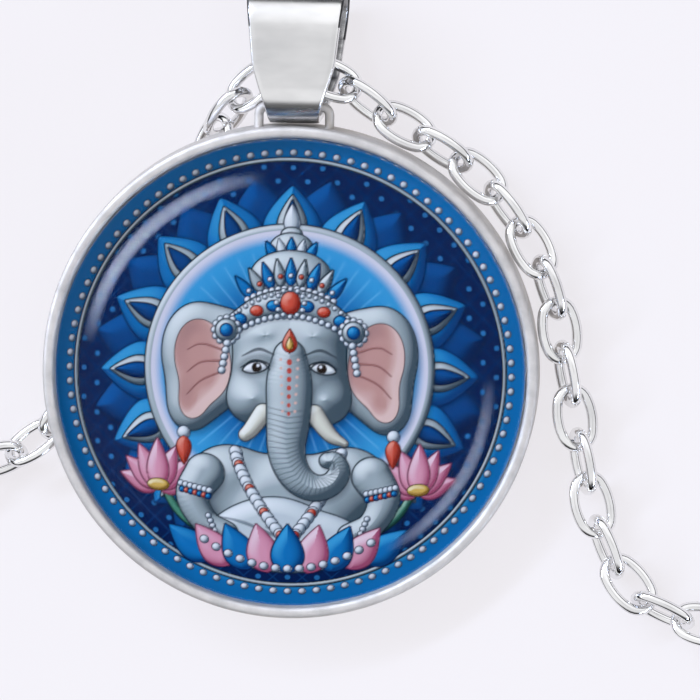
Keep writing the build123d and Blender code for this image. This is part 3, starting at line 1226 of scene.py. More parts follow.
    def diadem(self) -> None:
        """Band across the forehead, with its pearls, stones and side roses."""
        p = self.plate
        rows = (
            (-2.85, 2.35, 0.42),
            (-1.5, 3.2, 0.56),
            (0, 3.5, 0.64),
            (1.5, 3.2, 0.56),
            (2.85, 2.35, 0.42),
        )
        p.lay(curve(*rows), Inks.SILVER, 0.55, 1.0, 0.6)
        p.beads(Inks.PEARL, [(k * 0.31, 2.86 - 0.0115 * k * k, 0.13) for k in range(-9, 10)])
        p.beads(Inks.PEARL, [(k * 0.31, 4.0 - 0.0145 * k * k, 0.1) for k in range(-9, 10)])
        for k in (-3, -2, -1, 1, 2, 3):
            stone = oval(k * 0.82, 3.42 - 0.085 * k * k, 0.3, 0.24)
            p.lay(stone, Inks.AZURE if k % 2 else Inks.CORAL, 0.22)
        p.lay(oval(0, 3.5, 0.46, 0.55), Inks.CORAL, 0.4)
        p.lay(moved(around(oval(0, 0, 0.1), 12, 0.68), 0, 3.5), Inks.PEARL, 0.1)
        for side in (-1, 1):
            p.lay(moved(around(oval(0, 0, 0.14), 12, 0.6), side * 3.1, 2.1), Inks.PEARL, 0.14)
            p.lay(oval(side * 3.1, 2.1, 0.52), Inks.SILVER, 0.4)
            p.beads(Inks.AZURE, [(side * 3.1, 2.1, 0.28)])
            drop = [(side * (3.05 + 0.06 * k), 1.45 - 0.33 * k, 0.16) for k in range(5)]
            p.beads(Inks.PEARL, drop)
            p.lay(oval(side * 5.15, -3.0, 0.3), Inks.PEARL, 0.3, 1.0, 0.2)
            p.lay(moved(petal(1.4, 0.75), side * 5.15, -3.2, 180), Inks.CORAL, 0.35, 1.0, 0.2)

    def seat(self) -> None:
        """Row of lotus petals in front, with a string of pearls."""
        p = self.plate
        for k in sorted(range(-4, 5), key=lambda v: -abs(v)):
            leaf = moved(petal(2.7, 1.7), k * 1.0, -10.25 + 0.035 * k * k, -k * 12)
            p.lay(leaf, Inks.PINK if k % 2 else Inks.AZURE, 0.55, 1.0, 0.25)
        p.beads(Inks.PEARL, [(k * 0.6, -10.0 + 0.03 * k * k, 0.2) for k in range(-7, 8)])

    def paint(self) -> np.ndarray:
        """Lays every part of the emblem, from the back to the front.

        Returns:
            Linear red, green and blue for each place on the plate.
        """
        setting = (self.ground, self.border, self.lotus_ring, self.halo, self.side_flowers)
        figure = (self.body, self.arms, self.garland, self.ears, self.head, self.trunk)
        details = (self.eyes, self.brow_mark, self.crown, self.diadem, self.seat)
        for layer in setting + figure + details:
            layer()
        return np.clip(self.plate.colour, 0, 1) * self.paper_white


@dataclass
class PictureInsert:
    """The printed paper disc, as a fine inner disc and a border that meets it.

    It is glued to the glass with clear glue, so that no air lies between them.
    """

    sizes: TraySizes
    lean: Lean
    paper: Material
    seam_radius: float = 8.75
    step: float = 0.051
    glue_bite: float = 0.01

    def sheet(self, name: str, inner: float, outer: float) -> Piece:
        """Cuts a ring or disc from a fine sheet and trues up its edges.

        Args:
            name: The piece's name.
            inner: Its inside radius, or 0 for a disc.
            outer: Its outside radius.

        Returns:
            The sheet, flat and without thickness.
        """
        count = int(2 * outer / self.step)
        grid = {"x_subdivisions": count, "y_subdivisions": count, "size": 2 * outer}
        sheet = start(bpy.ops.mesh.primitive_grid_add, name, **grid)
        with editing(sheet):
            choose(sheet, Pick.VERTEX, lambda v: not inner <= v.co.xy.length <= outer)
            bpy.ops.mesh.delete(type="VERT")
        form = bmesh.new()
        form.from_mesh(sheet.data)
        for v in form.verts:
            if v.is_boundary:
                true_radius = inner if v.co.xy.length < (inner + outer) / 2 else outer
                v.co.xy *= true_radius / v.co.xy.length
        form.to_mesh(sheet.data)
        form.free()
        return sheet

    def give_edge(self, sheet: Piece, is_ring: bool) -> None:
        """Gives the paper its thickness and closes its back, with one face or as a ring."""
        with editing(sheet):
            choose(sheet, Pick.EDGE, lambda e: e.is_boundary)
            extrude(-self.sizes.print_thickness)
            if is_ring:
                bpy.ops.mesh.bridge_edge_loops()
            else:
                bpy.ops.mesh.edge_face_add()

    def print_on(self, sheet: Piece) -> None:
        """Prints the emblem on a sheet, as a colour at each of its points."""
        places = np.empty(len(sheet.data.vertices) * 3, dtype=np.float32)
        sheet.data.vertices.foreach_get("co", places)
        places = places.reshape(-1, 3).astype(float)
        colours = np.ones((len(places), 4), dtype=np.float32)
        colours[:, :3] = LotusEmblem(InkPlate(places[:, 0], places[:, 1], self.step)).paint()
        ink = sheet.data.color_attributes.new("ink", "FLOAT_COLOR", "POINT")
        ink.data.foreach_set("color", colours.ravel())

    def build(self) -> list[Piece]:
        """Makes both pieces of the print."""
        s = self.sizes
        place = self.lean.place @ Matrix.Translation((0, 0, s.glass_base + self.glue_bite))
        edge = s.glass_radius - s.print_margin
        rings = {
            "picture_middle": (0.0, self.seam_radius),
            "picture_border": (self.seam_radius, edge),
        }
        pieces = []
        for name, (inner, outer) in rings.items():
            sheet = self.sheet(name, inner, outer)
            self.give_edge(sheet, inner > 0)
            self.print_on(sheet)
            pieces.append(settle(sheet, place, self.paper, "printed_paper", "picture_insert"))
        return pieces


@dataclass
class BailSizes:
    """The bail's sizes in millimetres."""

    foot_depth: float = 3.8
    head_depth: float = 4.6
    length: float = 7.4
    foot_width: float = 2.7
    waist_width: float = 4.4
    waist_height: float = 2.7
    waist_round: float = 3.0
    head_width: float = 5.4
    edge_round: float = 0.16
    # Length of the head whose sides get the finish that paints shade.
    shaded_head_reach: float = 2.6
    floor_clearance: float = 0.05


class BailFace(Enum):
    """The bail's finishes, in the order of its material slots."""

    OUTSIDE = 0
    # The fold and the head's sides take darkened finishes that paint shade.
    FOLD = 1
    SHEARED = 2


@dataclass
class Bail:
    """The tapered strap, folded to a closed loop round the ear's bar."""

    sizes: BailSizes
    tray: TraySizes
    lean: Lean
    finishes: dict[BailFace, Material]
    around: int = 144
    across: int = 12
    sharp_degrees: float = 60.0
    bevelled_degrees: float = 50.0
    sideways: float = 0.3  # of a face's normal along X, past which it is a side
    inward: float = -0.5  # of a face's normal outwards, below which it is inside
    footward: float = -0.72  # of a face's normal along Y, below which it is low in the fold

    @property
    def foot_centre(self) -> float:
        """Middle of the foot's arc, with the ear's bar at 0."""
        t = self.tray
        return self.sizes.foot_depth / 2 - t.bail_strap - t.hinge_clearance - t.ear_wire / 2

    @property
    def foot_end(self) -> float:
        """The foot's end along the bail."""
        return self.foot_centre - self.sizes.foot_depth / 2

    @property
    def head_end(self) -> float:
        """The head's end along the bail."""
        return self.foot_end + self.sizes.length

    @property
    def head_centre(self) -> float:
        """Middle of the head's arc."""
        return self.head_end - self.sizes.head_depth / 2

    @property
    def place(self) -> Matrix:
        """Lays the bail's head on the floor, turned about the ear's bar."""
        t, s = self.tray, self.sizes
        lean = self.lean.place
        bar = Vector((0, t.ear_reach, t.ear_lift))
        skew = abs(lean[2][0]) * s.head_width / 2
        head_z = self.lean.floor_z + s.floor_clearance + s.head_depth / 2 + skew
        arm = self.head_centre * math.hypot(lean[2][1], lean[2][2])
        drop = math.acos((head_z - (lean @ bar).z) / arm) - math.atan2(lean[2][2], lean[2][1])
        return lean @ Matrix.Translation(bar) @ Matrix.Rotation(-drop, 4, "X")

    def side_point(self, share: float) -> tuple[float, float]:
        """Point on the strap's outer face, seen from its side.

        Args:
            share: How far round the closed loop, from 0 at the foot's end to 1.

        Returns:
            Its place along the bail and its height.
        """
        foot, head = self.sizes.foot_depth / 2, self.sizes.head_depth / 2
        reach = self.head_centre - self.foot_centre
        slant = math.asin((head - foot) / reach)
        foot_arc = foot * (math.pi / 2 - slant)
        straight = reach * math.cos(slant)
        half = foot_arc + straight + head * (math.pi / 2 + slant)
        along = 2 * half * share
        sign = 1.0
        if along > half:
            along, sign = 2 * half - along, -1.0
        if along < foot_arc:
            turn = math.pi - along / foot
            return self.foot_centre + foot * math.cos(turn), sign * foot * math.sin(turn)
        if along < foot_arc + straight:
            on = along - foot_arc
            y = self.foot_centre - foot * math.sin(slant) + on * math.cos(slant)
            return y, sign * (foot * math.cos(slant) + on * math.sin(slant))
        turn = (half - along) / head
        return self.head_centre + head * math.cos(turn), sign * head * math.sin(turn)

    def half_width(self, y: float) -> float:
        """Half the strap's width: two straight sides run together by an arc at the waist."""
        s = self.sizes
        up = y - self.foot_end
        foot_slope = (s.waist_width - s.foot_width) / 2 / s.waist_height
        head_slope = (s.head_width - s.waist_width) / 2 / (s.length - s.waist_height)
        foot_turn, head_turn = math.atan(foot_slope), math.atan(head_slope)
        reach = s.waist_round * math.tan((foot_turn - head_turn) / 2)
        first = s.waist_height - reach * math.cos(foot_turn)
        last = s.waist_height + reach * math.cos(head_turn)
        if up <= first:
            return s.foot_width / 2 + foot_slope * up
        if up >= last:
            return s.waist_width / 2 + head_slope * (up - s.waist_height)
        centre_up = first + s.waist_round * math.sin(foot_turn)
        centre_out = s.foot_width / 2 + foot_slope * first - s.waist_round * math.cos(foot_turn)
        return centre_out + math.sqrt(s.waist_round**2 - (up - centre_up) ** 2)

    def build(self) -> list[Piece]:
        """Wraps a flat strip round the loop, thickens it and rounds its edges."""
        grid = {"x_subdivisions": self.around, "y_subdivisions": self.across, "size": 2}
        strip = start(bpy.ops.mesh.primitive_grid_add, "folded_bail", **grid)
        for v in strip.data.vertices:
            y, z = self.side_point((v.co.x + 1) / 2)
            v.co = (v.co.y * self.half_width(y), y, z)
        outward(strip)
        thickness = self.tray.bail_strap
        finish_with(strip, "SOLIDIFY", thickness=thickness, offset=-1.0, use_even_offset=True)
        sharp = {"limit_method": "ANGLE", "angle_limit": math.radians(self.bevelled_degrees)}
        finish_with(strip, "BEVEL", width=self.sizes.edge_round, segments=4, **sharp)
        soften(strip, self.sharp_degrees)
        faces = [self.face_kind(face).value for face in strip.data.polygons]
        outside, *others = (self.finishes[kind] for kind in BailFace)
        settle(strip, self.place, outside, "plated_casting", "bail")
        for finish in others:
            strip.data.materials.append(finish)
        strip.data.polygons.foreach_set("material_index", faces)
        return [strip]

    def face_kind(self, face: Any) -> BailFace:
        """Tells where a face lies, and so whether a darkened finish paints shade on it.

        Args:
            face: The face, before the bail is put in its place.

        Returns:
            The finish that paints shade on the sides of the head, the one that paints shade inside
            the strap and low in its tight fold, and otherwise OUTSIDE.
        """
        y, z = face.center.y, face.center.z
        if abs(face.normal.x) > self.sideways and y > self.head_end - self.sizes.shaded_head_reach:
            return BailFace.SHEARED
        out = Vector((0, y - min(max(y, self.foot_centre), self.head_centre), z)).normalized()
        if face.normal.dot(out) < self.inward or face.normal.y < self.footward:
            return BailFace.FOLD
        return BailFace.OUTSIDE


def lengths_along(rows: np.ndarray, power: float = 1.0) -> np.ndarray:
    """Length from the first row to each one, with every step raised to a power."""
    steps = np.linalg.norm(np.diff(rows[:, :3], axis=0), axis=1)
    return np.concatenate([[0.0], np.cumsum(steps**power)])


def between(points: Any, knots: np.ndarray, at: float, span: int) -> list[np.ndarray]:
    """Blends each point with the next one.

    Args:
        points: The points.
        knots: Where they count along the curve.
        at: The place along the curve that is wanted.
        span: How many knots further each pair's second knot is.

    Returns:
        One point fewer.
    """
    pairs = zip(points, points[1:], knots, knots[span:])
    return [a + (b - a) * (at - low) / (high - low) for a, b, low, high in pairs]


@dataclass
class ChainRoute:
    """The chain's route round and under the tray, in millimetres.

    Each row holds the bearing from the tray's middle, the distance beyond the tray's edge,
    the lift above a chain at rest, and the roll of every other link.
    """

    tray: TraySizes
    lean: Lean
    slack: float = 0.21
    clasp_reach: float = 104.65
    per_span: int = 24
    right: tuple[Row, ...] = (
        (76, 102, 0.1, 45),
        (61, 94, 0, 45),
        (45, 80, 0, 45),
        (29, 64.5, 0, 45),
        (11, 48, 0, 45),
        (-6, 34, 0, 45),
        (-20, 23, 0, 40),
        (-28, 15, 0, 35),
        (-31, 11.4, 0, 30),
        (-31.5, 8.3, 0, 30),
        (-25, 5, 0, 30),
        (-14.5, 2.9, 0, 30),
        (4.5, 1.4, 0.15, 30),
        (21, 1.4, 0.5, 35),
        (42, 1.3, 0.6, 35),
        (55, 1.2, 1.05, 43),
        (74.5, 1.6, 1.5, 38),
        (78.5, 2.2, 1.7, 42),
        (87, 2.8, 2, 32),
    )
    left: tuple[Row, ...] = (
        (91, 3.1, 2.15, 38),
        (108.5, 0.5, 0.45, 30),
        (108, -0.1, 0, 38),
        (131, -2.6, 0.1, 40),
        (158, -3.9, 0, 45),
        (184, -2.5, 0, 45),
        (197, 0.8, 0, 45),
        (199, 5.2, 0, 45),
        (190.5, 14, 0, 45),
        (177, 30, 0, 45),
        (162.5, 46.5, 0, 45),
        (147.5, 65, 0, 45),
        (132.5, 81.5, 0, 45),
        (117.5, 95, 0, 45),
        (103.5, 102.5, 0.1, 45),
    )

    @property
    def link(self) -> OvalRing:
        """One link of the chain."""
        return self.lean.link

    @property
    def top(self) -> float:
        """Distance of the clasp from the tray's middle."""
        return self.tray.radius + self.clasp_reach

    def knots(self, fastening: float, clasp_z: float) -> np.ndarray:
        """Rows of x, y, z and roll for the clasp's two ends and the points between them.

        Args:
            fastening: Length from the right strand's end to the left one's, over the clasp.
            clasp_z: Height of the clasp's middle.

        Returns:
            One row for each, from the right end to the left one.
        """
        points = [(fastening / 2, self.top, clasp_z, self.lean.links_roll)]
        for bearing, beyond, lift, roll in self.right + self.left:
            turn = math.radians(bearing)
            radius = self.tray.radius + beyond
            height = self.lean.floor_z + self.link.rest_height(roll) + lift
            points.append((radius * math.cos(turn), radius * math.sin(turn), height, roll))
        points.append((-fastening / 2, self.top, clasp_z, self.lean.links_roll))
        return np.array(points)

    def samples(self, p: np.ndarray) -> np.ndarray:
        """Rows of x, y, z and roll along a smooth curve through the route's points.

        The curve is a centripetal one, so that it doesn't loop where points lie close.

        Args:
            p: The route's points.

        Returns:
            One row for each sample.
        """
        p = np.vstack([2 * p[0] - p[1], p, 2 * p[-1] - p[-2]])
        knots = lengths_along(p, 0.5)
        rows = [p[1]]
        for i in range(1, len(p) - 2):
            t = knots[i - 1 : i + 3]
            for step in range(1, self.per_span + 1):
                at = t[1] + (t[2] - t[1]) * step / self.per_span
                near = between(between(p[i - 1 : i + 3], t, at, 1), t, at, 2)
                rows.append(between(near, t[1:], at, 1)[0])
        return np.array(rows)

    def joints(self, rows: np.ndarray, ends: tuple[float, float], first_is_wide: bool) -> np.ndarray:
        """Rows at the joints of a strand.

        Args:
            rows: The route's samples.
            ends: Lengths along the route at which the strand begins and ends.
            first_is_wide: Whether its first link shows its wide side.

        Returns:
            One row for each joint, with an even number of links where the first one is wide.
        """
        pitch = self.link.length - 2 * self.link.wire - self.slack
        odd_link = 0 if first_is_wide else 1
        count = 2 * round((abs(ends[1] - ends[0]) / pitch - odd_link) / 2) + odd_link
        wanted, lengths = np.linspace(*ends, count + 1), lengths_along(rows)
        return np.stack([np.interp(wanted, lengths, column) for column in rows.T], axis=1)

    @staticmethod
    def places(joints: np.ndarray, first_is_wide: bool, along: int) -> list[Matrix]:
        """Where each link of a strand lies.

        Args:
            joints: The strand's joints.
            first_is_wide: Whether its first link shows its wide side.
            along: 1 where a link's X points on along the strand, or -1 where it points back.

        Returns:
            The place of each link.
        """
        places = []
        for index, (here, there) in enumerate(zip(joints, joints[1:])):
            begin, end = Vector(here[:3]), Vector(there[:3])
            line = (end - begin).normalized() * along
            level = Vector((0, 0, 1)).cross(line).normalized()
            is_rolled_on = (index % 2 == 1) == first_is_wide
            roll = math.radians((here[3] + there[3]) / 2 - (90 if is_rolled_on else 0))
            across = level * math.cos(roll) + line.cross(level) * math.sin(roll)
            turn = Matrix((line, across, line.cross(across))).transposed().to_4x4()
            places.append(Matrix.Translation((begin + end) / 2) @ turn)
        return places

    def strands(self, fastening: float, clasp_z: float) -> tuple[list[Matrix], list[Matrix]]:
        """The right and left strands' places, from the bail outwards."""
        rows = self.samples(self.knots(fastening, clasp_z))
        lengths = lengths_along(rows)
        meeting = float(lengths[len(self.right) * self.per_span])
        right = self.joints(rows, (meeting, 0.0), True)
        left = self.joints(rows, (meeting, float(lengths[-1])), False)
        return self.places(right, True, -1), self.places(left, False, 1)


@dataclass
class RoundRing:
    """A closed round ring of round wire, in millimetres."""

    length: float
    wire: float
    around: int = 64
    sides: int = 20

    def build(self, name: str, x: float = 0.0) -> Piece:
        """Makes the ring, with its middle this far along X."""
        return start(
            bpy.ops.mesh.primitive_torus_add,
            name,
            major_segments=self.around,
            minor_segments=self.sides,
            major_radius=(self.length - self.wire) / 2,
            minor_radius=self.wire / 2,
            location=(x, 0, 0),
        )


@dataclass
class Fastening:
    """The plain clasp with its eye, and its two rings, in millimetres."""

    link_wire: float
    slack: float
    clasp: OvalRing = field(default_factory=lambda: OvalRing(8.0, 4.6, 1.3, 1.55))
    eye: RoundRing = field(default_factory=lambda: RoundRing(2.7, 0.75, around=48))
    small: RoundRing = field(default_factory=lambda: RoundRing(3.2, 0.6))
    large: RoundRing = field(default_factory=lambda: RoundRing(4.0, 0.7))
    clasp_roll: float = -25.0
    ring_roll: float = 50.0

    def reach(self, ring: OvalRing | RoundRing, next_wire: float) -> float:
        """Distance from a ring's middle to its joint with the next ring's wire."""
        return (ring.length - ring.wire) / 2 - (ring.wire + next_wire) / 4 - self.slack / 2

    @property
    def eye_x(self) -> float:
        """The eye's middle along the clasp."""
        return self.clasp.length / 2 + self.eye.length / 2 - self.eye.wire / 2

    @property
    def small_to_clasp(self) -> float:
        """Distance from the small ring's middle to the clasp's."""
        eye_joint = self.eye_x + self.reach(self.eye, self.small.wire)
        return self.reach(self.small, self.eye.wire) + eye_joint

    @property
    def clasp_to_large(self) -> float:
        """Distance from the clasp's middle to the large ring's."""
        return self.reach(self.clasp, self.large.wire) + self.reach(self.large, self.clasp.wire)

    @property
    def small_in(self) -> float:
        """Distance from the right strand's end to the small ring's middle."""
        return self.reach(self.small, self.link_wire)

    @property
    def large_in(self) -> float:
        """Distance from the large ring's middle to the left strand's end."""
        return self.reach(self.large, self.link_wire)

    @property
    def length(self) -> float:
        """Length from the right strand's end to the left one's."""
        return self.small_in + self.small_to_clasp + self.clasp_to_large + self.large_in

    @property
    def rest_height(self) -> float:
        """Height of the row's middle above the floor, so that its largest parts clear it."""
        clasp_half = self.clasp.half_width * math.sin(math.radians(abs(self.clasp_roll)))
        ring_half = (self.large.length - self.large.wire) / 2
        ring_half *= math.sin(math.radians(self.ring_roll))
        return max(clasp_half + self.clasp.wire / 2, ring_half + self.large.wire / 2)


@dataclass
class Chain:
    """Both strands of oval links, the clasp and its rings."""

    route: ChainRoute
    parts: Fastening
    plating: Material

    def strand(self, name: str, node: str, places: list[Matrix]) -> Piece:
        """Models one link and copies it to every place of a strand.

        Args:
            name: The piece's name.
            node: The CAD node that it replaces.
            places: Where the links lie.

        Returns:
            The strand as one piece.
        """
        link = self.route.link.build(name, around=36, sides=12)
        points = np.array([v.co for v in link.data.vertices])
        faces = [tuple(f.vertices) for f in link.data.polygons]
        turns = [np.array(place) for place in places]
        all_points = [points @ turn[:3, :3].T + turn[:3, 3] for turn in turns]
        starts = range(0, len(places) * len(points), len(points))
        all_faces = [tuple(v + first for v in face) for first in starts for face in faces]
        strand = bpy.data.meshes.new(name)
        strand.from_pydata(np.concatenate(all_points).tolist(), [], all_faces)
        link.data = strand
        for face in strand.polygons:
            face.use_smooth = True
        return settle(link, Matrix.Identity(4), self.plating, "plated_wire", node)

    def fasten(self, piece: Piece, node: str, row: Matrix, x: float, roll: float) -> Piece:
        """Smooths a ring or the clasp and puts it in the row that closes the chain.

        Args:
            piece: The piece.
            node: The CAD node that it replaces.
            row: The row's middle.
            x: The piece's place along the row.
            roll: Its turn about the row, in degrees.

        Returns:
            The same piece.
        """
        bpy.ops.object.shade_smooth()
        turn = Matrix.Rotation(math.radians(roll), 4, "X")
        place = row @ Matrix.Translation((x, 0, 0)) @ turn
        return settle(piece, place, self.plating, "plated_wire", node)

    def build(self) -> list[Piece]:
        """Makes the strands, the clasp and the rings."""
        f, route = self.parts, self.route
        clasp_z = route.lean.floor_z + f.rest_height
        row = Matrix.Translation((0, route.top, clasp_z))
        small_x = f.length / 2 - f.small_in
        large_x = f.large_in - f.length / 2
        clasp_x = small_x - f.small_to_clasp
        right, left = route.strands(f.length, clasp_z)
        pieces = [
            self.strand("right_strand_links", "chain_right", right),
            self.strand("left_strand_links", "chain_left", left),
        ]
        small = f.small.build("small_clasp_ring")
        pieces.append(self.fasten(small, "clasp_ring", row, small_x, f.ring_roll))
        large = f.large.build("large_end_ring")
        pieces.append(self.fasten(large, "end_ring", row, large_x, f.ring_roll))
        clasp = f.clasp.build("plain_clasp", around=72, sides=24)
        join(clasp, f.eye.build("clasp_eye", f.eye_x))
        pieces.append(self.fasten(clasp, "clasp", row, clasp_x, f.clasp_roll))
        return pieces


@dataclass(frozen=True)
class Arc:
    """A curved highlight on the dome, which mirrors a soft light to the camera.

    Attributes:
        bearing: Direction of its middle from the dome's middle, in degrees.
        radius: Its distance from the dome's middle, in millimetres.
        width: Its width in millimetres.
        spread: Half the angle that it spans, in degrees.
        brightness: Brightness of its light.
    """

    bearing: float
    radius: float
    width: float
    spread: float
    brightness: float


@dataclass(frozen=True)
class Fade:
    """How a brightness goes over smoothly from one value to another.

    Attributes:
        start: Where the change begins.
        end: Where it is complete.
        at_start: The brightness up to the start.
        at_end: The brightness from the end on.
    """

    start: float
    end: float
    at_start: float
    at_end: float

    @property
    def settings(self) -> dict[str, Any]:
        """The fade as a map range node's settings."""
        return {
            "interpolation_type": "SMOOTHSTEP",
            "From Min": self.start,
            "From Max": self.end,
            "To Min": self.at_start,
            "To Max": self.at_end,
        }


@dataclass
class Studio:
    """The lit table top, the white tent with its two curved lights, and the camera.

    The tent is white overhead and has a dark band low down, with a thin lighter line at the
    horizon. It is dim far towards the viewer's side, at -Y, and a little dimmer behind the
    camera and on the near half.
    """

    tray: TraySizes
    lean: Lean
    tilt_right: float = 9.0
    tilt_ahead: float = 5.5
    roll: float = 1.2
    distance_mm: float = 450.0
    sensor_mm: float = 36.0
    pixels_per_mm: float = 18.85
    centre_px: tuple[float, float] = (289.5, 373.95)
    table_gap_mm: float = 0.05
    table_size_m: float = 3.0
    tent_brightness: float = 1.3
    sky: tuple[tuple[float, str], ...] = (
        (0.0, "D8D8DA"),
        (0.03, "3A3A3C"),
        (0.09, "1E1E20"),
        (0.24, "1E1E20"),
        (0.36, "F4F4F6"),
        (1.0, "F4F4F6"),
    )
    viewer_side: Fade = Fade(-0.85, -0.6, 0.12, 1.0)
    near_half: Fade = Fade(0.05, 0.5, 0.8, 1.0)
    camera_shade: float = 0.8
    camera_shade_degrees: tuple[float, float] = (15.0, 3.0)
    arcs: tuple[Arc, ...] = (
        Arc(138.0, 10.85, 1.0, 40.0, 92.0),
        Arc(-35.0, 10.7, 0.9, 32.0, 46.0),
    )
    arc_colour: str = "D6E4FF"

    @property
    def towards_camera(self) -> Vector:
        """Direction from the pendant to the camera."""
        right, ahead = math.radians(self.tilt_right), math.radians(self.tilt_ahead)
        return Vector((math.tan(right), math.tan(ahead), 1.0)).normalized()

    def camera(self) -> None:
        """Places the camera so that the glass's edge lies where the photograph has it."""
        toward = self.towards_camera
        up = (Vector((0, 1, 0)) - toward.y * toward).normalized()
        right = up.cross(toward)
        c, s = math.cos(math.radians(self.roll)), math.sin(math.radians(self.roll))
        right, up = right * c + up * s, up * c - right * s
        middle = self.lean.place @ Vector((0, 0, self.tray.height))
        across = (PHOTO_PIXELS / 2 - self.centre_px[0]) / self.pixels_per_mm
        upward = (self.centre_px[1] - PHOTO_PIXELS / 2) / self.pixels_per_mm
        place = middle + right * across + up * upward + toward * self.distance_mm
        bpy.ops.object.camera_add()
        camera = bpy.context.active_object
        camera.name = "photo_camera"
        turn = Matrix((right, up, toward)).transposed().to_4x4()
        camera.matrix_world = Matrix.Translation(place * MM) @ turn
        camera.data.sensor_width = self.sensor_mm
        camera.data.lens = self.sensor_mm * self.distance_mm * self.pixels_per_mm / PHOTO_PIXELS
        camera.data.clip_start = 0.01
        camera.data.clip_end = 20.0
        bpy.context.scene.camera = camera

    def glow(self, tree: Tree, direction: Socket, arc: Arc) -> Socket:
        """Adds a soft curved light to the sky, where the dome mirrors it to the camera.

        Args:
            tree: The world's node tree.
            direction: The direction that the sky is seen in.
            arc: Where its highlight lies on the dome.

        Returns:
            Its brightness in each direction.
        """
        crown = self.lean.place.to_3x3() @ Vector((0, 0, 1))
        view = self.towards_camera
        pole = (2 * crown.dot(view) * crown - view).normalized()
        turn = math.radians(arc.bearing)
        middle = Vector((math.cos(turn), math.sin(turn), 0))
        middle = (middle - middle.dot(pole) * pole).normalized()
        edges = (arc.radius - arc.width / 2, arc.radius + arc.width / 2)
        near, far = (math.cos(2 * math.asin(edge / self.tray.dome_radius)) for edge in edges)
        height, along = (
            add_node(
                tree, "ShaderNodeVectorMath", {"operation": "DOT_PRODUCT", 1: axis}, {0: direction}
            ).outputs["Value"]
            for axis in (pole, middle)
        )
        from_middle = {"operation": "SUBTRACT", 1: (near + far) / 2}
        off = add_node(tree, "ShaderNodeMath", from_middle, {0: height}).outputs[0]
        off = add_node(tree, "ShaderNodeMath", {"operation": "ABSOLUTE"}, {0: off}).outputs[0]
        across = Fade(0.0, (near - far) / 2, 1.0, 0.0).settings
        strip = add_node(tree, "ShaderNodeMapRange", across, {"Value": off})
        both = {0: height, 1: height}
        square = add_node(tree, "ShaderNodeMath", {"operation": "MULTIPLY"}, both).outputs[0]
        from_one = {"operation": "SUBTRACT", 0: 1.0}
        rest = add_node(tree, "ShaderNodeMath", from_one, {1: square}).outputs[0]
        flat = add_node(tree, "ShaderNodeMath", {"operation": "SQRT"}, {0: rest}).outputs[0]
        shares = {0: along, 1: flat}
        turned = add_node(tree, "ShaderNodeMath", {"operation": "DIVIDE"}, shares).outputs[0]
        ends = Fade(math.cos(math.radians(arc.spread)), 1.0, 0.0, arc.brightness).settings
        tips = add_node(tree, "ShaderNodeMapRange", ends, {"Value": turned})
        parts = {0: strip.outputs["Result"], 1: tips.outputs["Result"]}
        return add_node(tree, "ShaderNodeMath", {"operation": "MULTIPLY"}, parts).outputs[0]

    def tent(self, tree: Tree, direction: Socket) -> Socket:
        """Adds the white tent, open to a dark room towards the viewer.

        Args:
            tree: The world's node tree.
            direction: The direction that the sky is seen in.

        Returns:
            The tent's light in each direction.
        """
        parts = add_node(tree, "ShaderNodeSeparateXYZ", {}, {0: direction}).outputs
        ramp = add_node(tree, "ShaderNodeValToRGB", {}, {0: parts["Z"]})
        stops = ramp.color_ramp.elements
        for stop, (position, colour) in zip(stops, (self.sky[0], self.sky[-1])):
            stop.position = position
            stop.color = linear(colour)
        for position, colour in self.sky[1:-1]:
            stops.new(position).color = linear(colour)
        toward = {"operation": "DOT_PRODUCT", 1: self.towards_camera}
        facing = add_node(tree, "ShaderNodeVectorMath", toward, {0: direction}).outputs["Value"]
        low, high = (math.cos(math.radians(angle)) for angle in self.camera_shade_degrees)
        full = self.tent_brightness
        shade = Fade(low, high, full, full * self.camera_shade)
        fades = ((self.viewer_side, parts["Y"]), (self.near_half, parts["Y"]), (shade, facing))
        near, half, shaded = (
            add_node(tree, "ShaderNodeMapRange", fade.settings, {"Value": seen}).outputs["Result"]
            for fade, seen in fades
        )
        times = {"operation": "MULTIPLY"}
        room = add_node(tree, "ShaderNodeMath", times, {0: near, 1: half}).outputs[0]
        strength = add_node(tree, "ShaderNodeMath", times, {0: room, 1: shaded}).outputs[0]
        lit = {"Color": ramp.outputs["Color"], "Strength": strength}
        return add_node(tree, "ShaderNodeBackground", {}, lit).outputs["Background"]

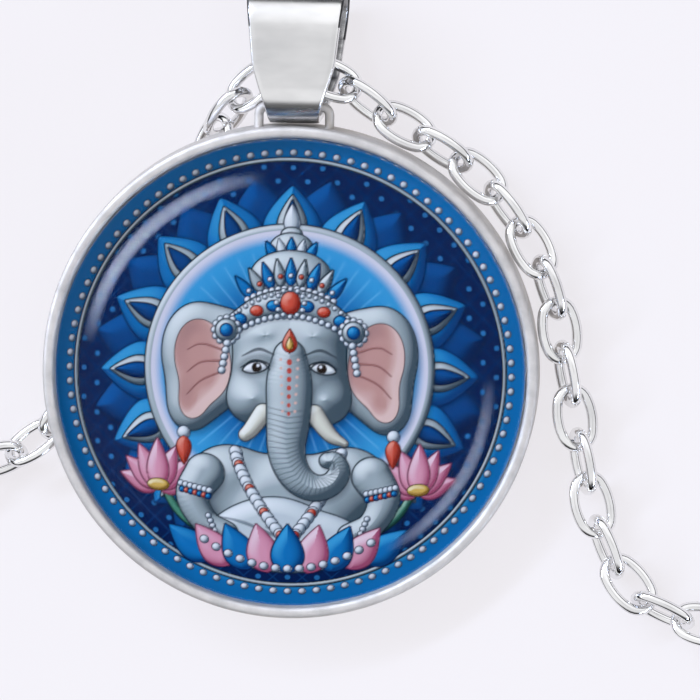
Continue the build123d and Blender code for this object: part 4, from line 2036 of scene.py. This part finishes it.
    def surroundings(self) -> None:
        """Surrounds the necklace with the tent and its curved lights."""
        world = bpy.data.worlds.new("white_tent")
        bpy.context.scene.world = world
        world.use_nodes = True
        tree = world.node_tree
        tree.nodes.clear()
        direction = add_node(tree, "ShaderNodeTexCoord").outputs["Generated"]
        total = self.tent(tree, direction)
        for arc in self.arcs:
            colour = {"Color": linear(self.arc_colour)}
            strength = {"Strength": self.glow(tree, direction, arc)}
            lamp = add_node(tree, "ShaderNodeBackground", colour, strength)
            both = {0: total, 1: lamp.outputs["Background"]}
            total = add_node(tree, "ShaderNodeAddShader", {}, both).outputs[0]
        add_node(tree, "ShaderNodeOutputWorld", {}, {"Surface": total})

    def table(self) -> None:
        """Lays the lit table top under the necklace."""
        table = start(bpy.ops.mesh.primitive_plane_add, "table_top", size=self.table_size_m)
        top = (self.lean.floor_z - self.table_gap_mm) * MM
        table.data.transform(Matrix.Translation((0, 0, top)))
        table.data.materials.append(LitAcrylic().build())

    def build(self) -> None:
        """Sets up the whole studio."""
        self.camera()
        self.surroundings()
        self.table()
        bpy.context.scene.view_settings.view_transform = "Standard"


def main() -> None:
    """Sets up the studio, makes each piece of the necklace and logs its face count."""
    logging.basicConfig(level=logging.INFO, format="%(name)s %(message)s")
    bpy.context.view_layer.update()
    sizes = TraySizes()
    lean = Lean(sizes)
    metal = {plating: plating.value.build() for plating in Platings}
    # The fold and the head's sides get darkened finishes that paint shade.
    bail_finishes = {
        BailFace.OUTSIDE: metal[Platings.STRAP],
        BailFace.FOLD: metal[Platings.FOLD],
        BailFace.SHEARED: metal[Platings.SHEARED],
    }
    route = ChainRoute(sizes, lean)
    Studio(sizes, lean).build()
    makers = (
        Tray(sizes, lean, metal[Platings.CAST_ZINC]),
        PictureInsert(sizes, lean, PrintedPaper().build()),
        GlassDome(sizes, lean, ClearGlass().build()),
        Bail(BailSizes(), sizes, lean, bail_finishes),
        Chain(route, Fastening(route.link.wire, route.slack), metal[Platings.WIRE]),
    )
    for maker in makers:
        for piece in maker.build():
            LOG.info("%s: %d faces", piece.name, len(piece.data.polygons))


if __name__ == "__main__":
    main()
